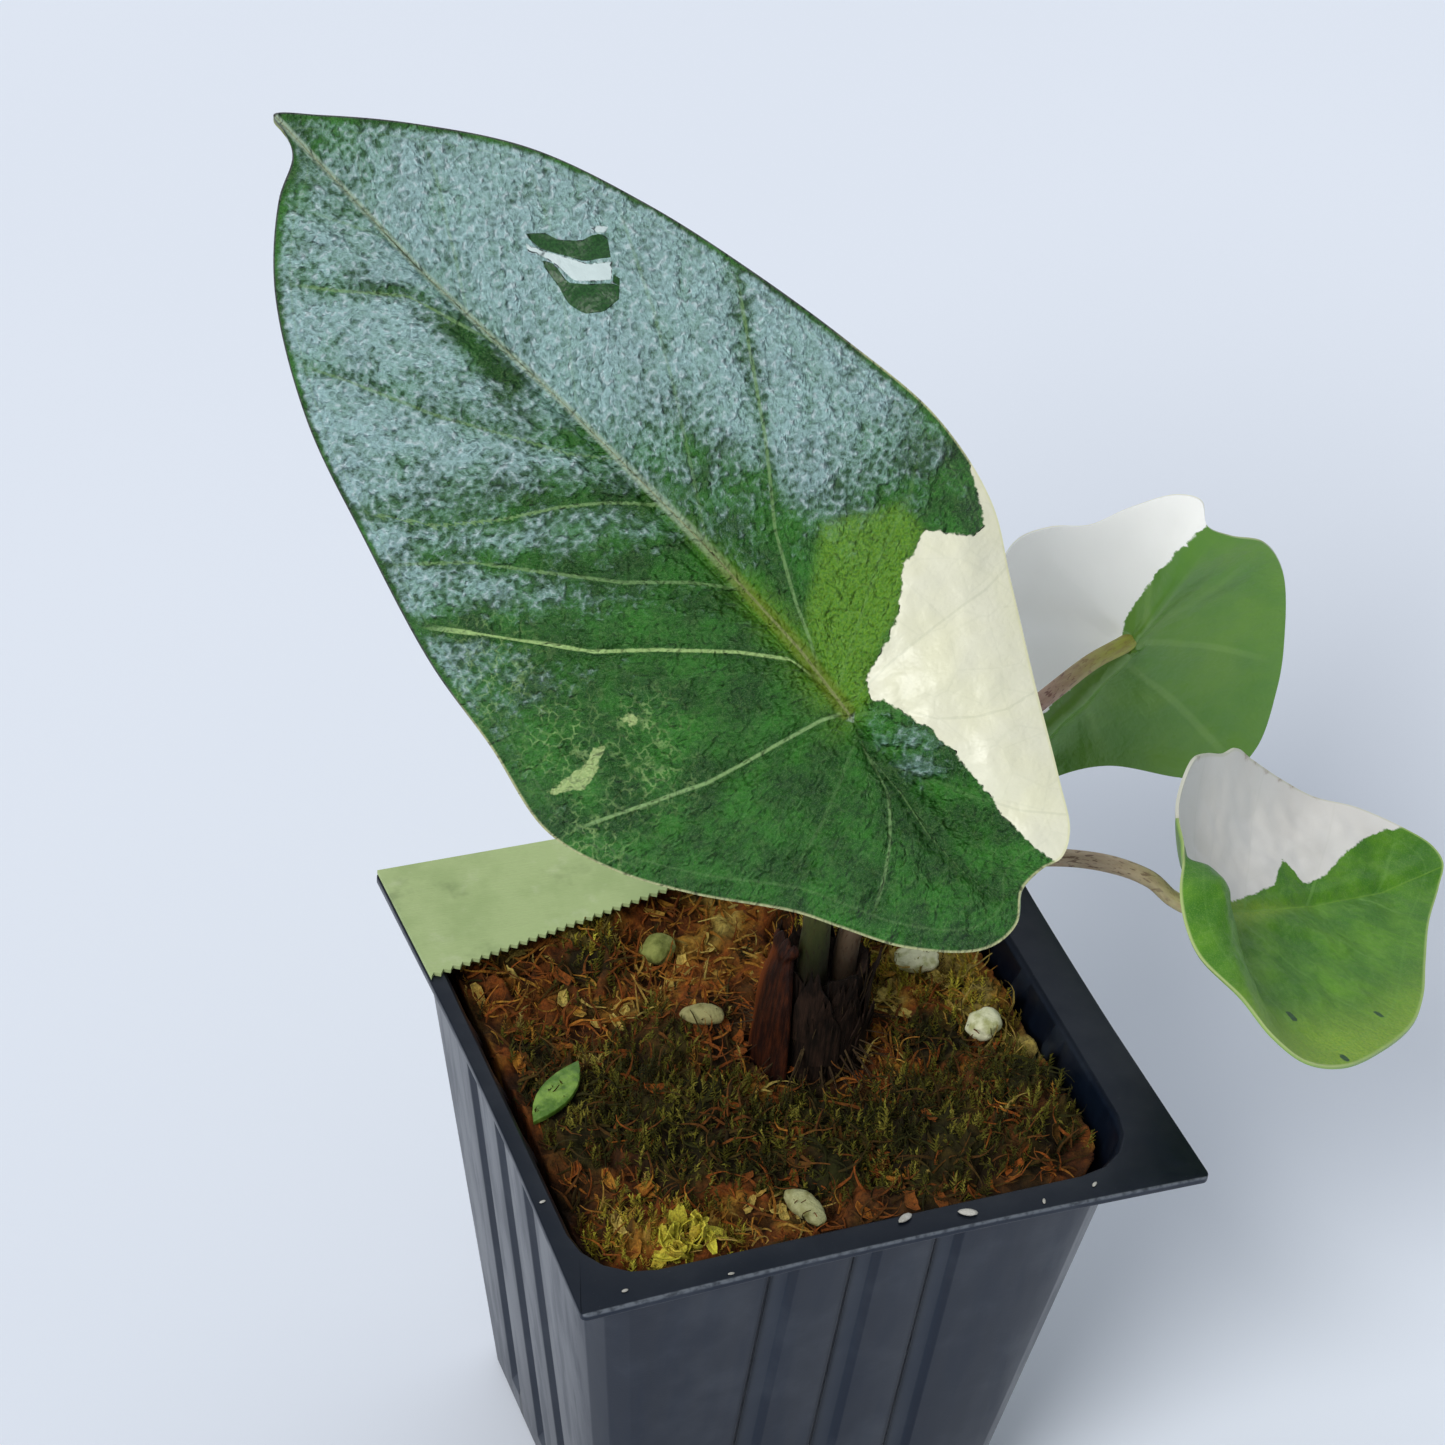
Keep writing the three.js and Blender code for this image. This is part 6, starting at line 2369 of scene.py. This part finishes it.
MAIN_BLADE = Blade(
    name="large_blade",
    node="blade_main",
    slot="leaf_metallic_blue",
    attachment=(2.3, -7.9, 121.8),
    along=(-0.467, 0.785, 0.408),
    facing=(-0.388, -0.596, 0.703),
    ribs=(
        (0, 94.5, -5, 0.4), (3.8, 90.5, -4.5, 1.2), (10.4, 82.5, -4, 2.6), (18, 71, -4, 3.4),
        (23, 57, -4, 3.6), (26, 44, -4, 3.4), (28.3, 30.5, -4.5, 3.2), (29.5, 18, -5, 3.2),
        (27.3, 7, -4.5, 3), (22.7, -1, -3.5, 2.6), (17, -10.7, -2.5, 2.2), (11.5, -20.4, -2.5, 1.8),
        (8.6, -25, -3, 1.4), (6, -26.5, -3, 1), (3.5, -26, -2.5, 0.2), (0.4, -26.2, -2, -0.8),
        (-2.6, -28.4, -3, 0.4), (-6.8, -27.9, -4, 1.6), (-12.9, -21.8, -5, 2.6),
        (-16.5, -15.4, -4.5, 2.8), (-18.9, -10.9, -4, 2.6), (-25.7, -1.6, -3.5, 2.8),
        (-30.2, 6.4, -3.5, 3), (-32.5, 14.5, -4, 3.2), (-30.6, 25.5, -4, 3.2), (-29.2, 36.5, -4, 3.2),
        (-25.2, 51.7, -4, 3.4), (-20.7, 66.4, -4.5, 3.4), (-13.4, 79.6, -4.5, 2.8),
        (-6.2, 86.6, -4, 1.8), (-1.7, 89.2, -4, 1), (-0.4, 92.2, -4.5, 0.5),
    ),
    midline=(
        (0.4, -26), (-1.9, -25), (-2.75, -20), (-2.65, -15), (-1.7, -9.5), (-1.4, -4), (0, 0), (1, 9),
        (1.4, 25), (1, 47), (-0.2, 69), (0, 94),
    ),
    left=(
        Vein(((0, -3), (0.3, -5), (1.1, -8.8), (2.6, -11.1), (4.4, -13.3), (6.9, -15.2), (16, -20)), 0.35),
        Vein(((0, -2), (4, -4.5), (9, -6.5), (15, -8), (26, -9)), 0.15),
        Vein(((0, 0.5), (2.8, 1.7), (9.9, 3.4), (16.7, 5.2), (23.7, 8.4), (33, 13)), 0.6),
        Vein(((0, 4), (1.5, 8.9), (5.2, 13.3), (11.6, 19.6), (16.8, 24.4), (20.6, 29.8), (26.4, 37.9)), 0.9),
        Vein(((0, 18), (4, 22.5), (9.1, 27.2), (14.9, 34.9), (19.3, 41), (24.2, 45.9)), 0.35),
        Vein(((0, 31), (4, 35), (8.5, 38.5), (13.6, 41.5), (19.3, 46.3), (23.5, 53.1)), 0.4),
        Vein(((0, 38), (3.6, 42), (6.2, 47), (10.5, 55.4), (14.8, 67), (20, 78)), 0.3),
        Vein(((0, 57), (1.8, 63), (3, 68), (8.1, 73.9), (14, 82)), 0.35),
        Vein(((0, 74), (3, 80), (6, 86), (10, 93)), 0.2),
    ),
    right=(
        Vein(((0, -6), (3, -10), (6, -15), (9, -20), (12, -24)), 0.12),
        Vein(((0, 0), (6.2, -3.9), (8, -6.8), (11.4, -9.5), (14.8, -11.1), (22, -12)), 0.14),
        Vein(((0, 1), (7, 1), (14, 0.5), (20, 0), (28, 1)), 0.15),
        Vein(((0, 2.5), (6, 6), (13, 10), (20, 13), (27, 18)), 0.15),
        Vein(((0, 5), (3.2, 13), (6.7, 20), (13.3, 28.9), (19, 37.6), (27, 50)), 0.35),
        Vein(((0, 24), (4, 30), (9, 38), (14, 47), (19, 57), (24, 66)), 0.2),
        Vein(((0, 42), (1.2, 46.2), (6.1, 52.2), (12.1, 60), (17, 70), (22, 80)), 0.15),
        Vein(((0, 62), (4, 68), (8, 75), (12, 84)), 0.2),
        Vein(((0, 78), (3, 83), (6, 89)), 0.15),
    ),
    cream=(
        (31, 14), (27.9, 11.1), (26.1, 7.2), (24.6, 5.5), (23.1, 5.4), (21.1, 7.5), (19.6, 9),
        (16.7, 7.9), (15.4, 8.1), (13.2, 5.7), (11.5, 4.3), (8, 2.7), (4, 1.7), (3, -0.3), (3.8, -1.7),
        (5.2, -7), (5.3, -11.9), (4.6, -18.1), (4.5, -22.3), (4.8, -25.5), (6, -30), (40, -30),
        (40, 14),
    ),
    lime=(
        (0, -0.5), (3, -0.5), (4, 1.7), (11.5, 4.3), (16.7, 7.9), (19.6, 9), (20, 13), (12, 17),
        (7.7, 13.5), (1.7, 9.6),
    ),
    scar_dark=(
        (
            (10.6, 64), (12.5, 62.3), (13.1, 60.5), (14.8, 58.8), (16.5, 58.3), (17.3, 57.3),
            (15.8, 54.9), (13.4, 56.6), (10.8, 61.1),
        ),
        (
            (9.9, 60.7), (10.9, 58.8), (10.5, 56.2), (12.1, 54.3), (13.9, 52.6), (15.2, 53.9),
            (15.2, 52.7), (13.2, 50.6), (11, 50.7), (9.3, 52.1), (8.8, 54.3), (9.4, 56.8),
        ),
    ),
    scar_pale=(
        (
            (9.9, 63.6), (11, 60.8), (12.6, 58.1), (13.6, 56.1), (15.7, 54.5), (14.1, 52.8),
            (12.9, 53.8), (11, 55.8), (10.9, 58), (10.5, 60.1), (9.7, 61.7),
        ),
        ((16.4, 59.4), (17.9, 58.4), (18, 57.4), (16.6, 57.8)),
    ),
    pale_spot=(
        ((-18.1, 16.7), (-16.8, 16.8), (-16.6, 15.5), (-17.9, 15.2)),
        (
            (-30.1, 17), (-28.3, 17.2), (-24.8, 16), (-23, 16.8), (-21.1, 16), (-23.6, 14.6),
            (-26.3, 14.2),
        ),
    ),
    net=((-24.8, 31, 9), (-19.6, 10.6, 8), (-28.8, 10, 7), (-17, 14, 7), (-24, 20, 8), (14, -18, 7)),
    glare=((4, -8, 8), (1.6, -4, 5)),
    fold_shade=0.85,
    silver_and_sheen_from=(14.0, 6.0),
    silver_and_sheen_low=0.16,
    silver_and_sheen_rise=(38.0, 22.0),
    shade_past_vein=0.55,
    pale_edge_below=30.0,
    spokes=416,
    rings=92,
    skin=LeafSkin(
        name="leaf_metallic_blue",
        dark_green_and_shade="0C420B",
        green_light="2A7419",
        lime="6A9A1C",
        cream="E9E8D0",
        cream_warm="E4E3BC",
        vein="A9CB7E",
        vein_green="86AC6C",
        silver_and_sheen="B6DADD",
        back_green="6F9A62",
        back_cream="DAD9BC",
        edge_dark="4C4650",
        edge_pale="C9CC98",
    ),
)

REAR_BLADE = Blade(
    name="rear_blade",
    node="blade_rear",
    slot="leaf_cream_green",
    attachment=(60.5, 36.1, 86),
    along=(-0.483, 0.215, -0.849),
    facing=(0.406, 0.914, 0),
    ribs=(
        (0.4, 37.5, -1.5, 0.3), (3.8, 31.5, 0, 0.4), (6.4, 24, 1, 0.8), (10.6, 17.8, 1, 1.2),
        (18.6, 13.8, 1, 1.4), (23.7, 11.5, 2, 1.4), (25, 6, 4, 1.4), (21.4, -2.5, 5, 1.2),
        (17.2, -8.9, 5, 1.2), (9.3, -17.8, 4, 1.2), (4.2, -20.1, 3, 0.8), (0.1, -18.9, 2, -0.2),
        (-3, -18.3, 2, -0.8), (-5.4, -20.2, 3, 0), (-7.8, -18.6, 4, 0.4), (-10.6, -12.9, 5, 0.2),
        (-12.8, -7.8, 5, 0.2), (-16.8, -5.2, 4, 0.8), (-19, -1.5, 3.5, 1.2), (-18, 4, 3, 1.4),
        (-13.2, 14.4, 2, 1.4), (-7.6, 27, 1, 1), (-2.8, 34, 0, 0.6),
    ),
    midline=((-2, -19), (-1, -8), (0, 0), (0, 37)),
    left=(
        Vein(((0, -4), (4, -11), (8, -17)), 0.4),
        Vein(((0, 0), (8, -1), (19, -3)), 0.4),
        Vein(((0, 3), (8, 6), (18, 12)), 0.4),
        Vein(((0, 10), (8, 18), (14, 26)), 0.3),
        Vein(((0, 22), (6, 30)), 0.3),
    ),
    right=(
        Vein(((0, -1), (4.5, -8.4), (7, -17.5)), 0.2),
        Vein(((0, 0), (9, -3), (20, -6)), 0.4),
        Vein(((0, 3), (10, 5), (24, 9)), 0.4),
        Vein(((0, 10), (8, 16), (14, 24)), 0.3),
        Vein(((0, 22), (6, 30)), 0.3),
    ),
    rib_line=0.3,
    dents=0.2,
    cream=(
        (-0.5, 40), (-0.8, 14), (-0.6, 7), (-0.7, 0.4), (-2.1, -1.5), (-3.1, -8.9), (-3.3, -24),
        (-40, -24), (-40, 40),
    ),
    spokes=256,
    rings=60,
    skin=LeafSkin(
        name="leaf_cream_green",
        dark_green_and_shade="2E6A22",
        green_light="56902C",
        lime="7FA83C",
        cream="E6E5DA",
        cream_warm="DDDBBE",
        vein="9DBF6E",
        vein_green="6FA044",
        silver_and_sheen="9CBFC4",
        back_green="5E8F3A",
        back_cream="FAFAF6",
        painted_backlight=0.12,
        edge_dark="7FA05A",
        edge_pale="C9CEA4",
        back_rib="6E9440",
        wrinkle=0.14,
    ),
)

RIGHT_BLADE = Blade(
    name="young_blade",
    node="blade_right",
    slot="leaf_young",
    attachment=(48.7, -12.4, 87.5),
    along=(0.877, 0.267, -0.399),
    facing=(0.464, -0.253, 0.849),
    ribs=(
        (0, 37.6, 6.4, -1.8), (2.8, 35.4, 5.6, -1.6), (7.6, 29.6, 5.5, -1.6), (13.4, 23.5, 6.1, -1.8),
        (18.2, 18.4, 6.8, -2), (21.7, 13.5, 6.9, -2), (24.4, 6.2, 6.5, -1.8), (25.6, -1, 5.5, -1.6),
        (24.3, -6.2, 4.9, -1), (21, -10.5, 5.5, 0.4), (16.4, -12.6, 5.8, 2), (9.7, -13.7, 4.1, 4),
        (5.7, -13.2, 4, 4.6), (1.5, -12.1, 4.8, 4.4), (-1.8, -10, 5.6, 2.8), (-4, -8.6, 6.1, -1),
        (-7.3, -7.4, 6.4, -1.8), (-10.5, -4.9, 6.5, -1.8), (-14.5, -0.6, 7.6, -2.2),
        (-15.8, 3.7, 7, -2), (-16.1, 7.4, 6.5, -1.8), (-16.7, 9.9, 6.7, -2), (-16.1, 13.5, 5.4, -1.6),
        (-14.2, 20, 3.6, -1), (-12, 25.1, 3.1, -0.8), (-9.6, 30.1, 4.3, -1.2), (-5.6, 35.2, 5.5, -1.6),
        (-2.6, 37.6, 6.2, -1.8),
    ),
    midline=((-1, -14), (0.5, -4), (1, 0), (1.5, 9), (1.7, 28), (0.5, 37.6)),
    left=(
        Vein(((0, -3), (5, -6), (12, -9)), 0.3),
        Vein(((0, 0), (6, 0), (17, 3)), 0.3),
        Vein(((0, 5), (8, 11), (16, 16)), 0.3),
        Vein(((0, 16), (7, 23), (13, 28)), 0.3),
        Vein(((0, 27), (5, 33)), 0.2),
    ),
    right=(
        Vein(((0, -2), (6, -7), (14, -13), (22, -18)), 0.2),
        Vein(((0, 0), (8, -1), (18, -2), (26, -2)), 0.2),
        Vein(((0, 3), (8, 6), (16, 9), (25, 12)), 0.2),
        Vein(((0, 12), (8, 17), (16, 22)), 0.2),
        Vein(((0, 24), (6, 30), (10, 34)), 0.3),
    ),
    cream=(
        (-7.5, -14), (-7.2, -2.7), (0.4, -1.1), (-0.2, 5.3), (-1.6, 12.1), (-4.9, 15.5), (-1, 17.3),
        (-1.8, 20.4), (-4.3, 25.7), (-5.6, 30.3), (-5.8, 33.5), (-5.5, 42), (-30, 42), (-30, -14),
    ),
    lime=((17, -14), (30, -12), (30, 16), (16, 24), (19, 10)),
    lime_fade=6.0,
    scar_dark=(
        ((16.1, -1.2), (16.2, -0.3), (18, -0.4), (17.9, -1.4)),
        ((18.4, 10.4), (18.5, 11.2), (19.9, 11.3), (19.8, 10.5)),
        ((23.6, -0.3), (23.7, 0.7), (25.2, 0.8), (25.1, -0.3)),
    ),
    brown=(
        (-16.4, 12.4, 1.0), (-15.9, 14.6, 0.8), (-15.2, 16.8, 0.9), (-14.3, 19.4, 0.7),
        (-13.6, 21.6, 0.9), (-12, 25.4, 0.7), (-15.2, 0.8, 0.8), (-7.2, -6.9, 0.9), (-1.2, 2.6, 0.5),
    ),
    rib_line=0.26,
    spokes=288,
    rings=64,
    vein_dip=0.06,
    quilt=0.08,
    skin=LeafSkin(
        name="leaf_young",
        dark_green_and_shade="34700C",
        green_light="558C12",
        lime="86A62A",
        cream="E4E2DC",
        cream_warm="DDD8CE",
        vein="9DBF6E",
        vein_green="6FA044",
        silver_and_sheen="9CBFC4",
        back_green="6F9A50",
        back_cream="D4D4C4",
        edge_dark="9DB86A",
        edge_pale="B5C680",
        rib_brown="7A9A3A",
        rib_pale="6C9A28",
        rib_olive="6C9A28",
        rib_core="84AA3C",
        speck_and_glint="7FA63C",
        cream_lines=0.35,
        roughness=0.4,
        wrinkle=0.15,
    ),
)

STALKS = (
    Stalk(
        name="large_stalk",
        node="petiole_main",
        route=(
            (4.45, -0.93, 64), (4.45, -0.93, 72), (4.45, -0.93, 80), (4.3, -1.5, 87), (4.6, -2.4, 98),
            (5.4, -3, 109), (4.6, -4.3, 117.4), (3, -6.8, 120.6),
        ),
        foot_radius=2.05,
        head_radius=1.5,
        skin=StalkSkin("large_stalk", "2A3A12", "6C6A3A", "8FA05A", "2E2014", 2, 76, 121),
    ),
    Stalk(
        name="rear_stalk",
        node="petiole_rear",
        route=(
            (6.28, 2.99, 64), (6.28, 2.99, 72), (6.28, 2.99, 80), (6.8, 4.1, 84), (12, 8.3, 87),
            (22, 14.8, 87.6), (35.5, 22.7, 86), (46.5, 29.3, 85.8), (54, 33.2, 86.4),
            (59.6, 35.6, 86.2), (60.9, 36.5, 86.1),
        ),
        foot_radius=1.75,
        head_radius=1.1,
        skin=StalkSkin("rear_stalk", "8A6252", "B4937F", "A9AE46", "6A3A30", 0, 12, 60),
    ),
    Stalk(
        name="young_stalk",
        node="petiole_right",
        route=(
            (8.77, -0.56, 64), (8.77, -0.56, 72), (8.77, -0.56, 80), (9.4, -0.9, 84), (14, -2, 88.6),
            (21, -3.4, 91.3), (30, -4.8, 92.3), (37, -7.2, 91.8), (41.5, -9.6, 90.4),
            (44.2, -10.8, 87.8), (46.3, -11.5, 86.6), (48.2, -12.1, 86.4),
        ),
        foot_radius=1.55,
        head_radius=1.0,
        skin=StalkSkin("young_stalk", "8A7258", "BCA88A", "C4BC84", "5E4028", 0, 12, 48),
    ),
)


def main() -> None:
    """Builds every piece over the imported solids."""
    logging.basicConfig(level=logging.INFO, format="%(message)s", force=True)
    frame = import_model()
    nodes = frame["nodes"]
    make_vein_lines()
    make_ragged_edge()
    make_mottle()
    Studio().build()
    Pot().build(nodes)
    MossBed().build(nodes)
    Crown().build(nodes)
    LooseBits().build(nodes)
    for part in (MAIN_BLADE, REAR_BLADE, RIGHT_BLADE, *STALKS):
        part.build()


if __name__ == "__main__":
    main()
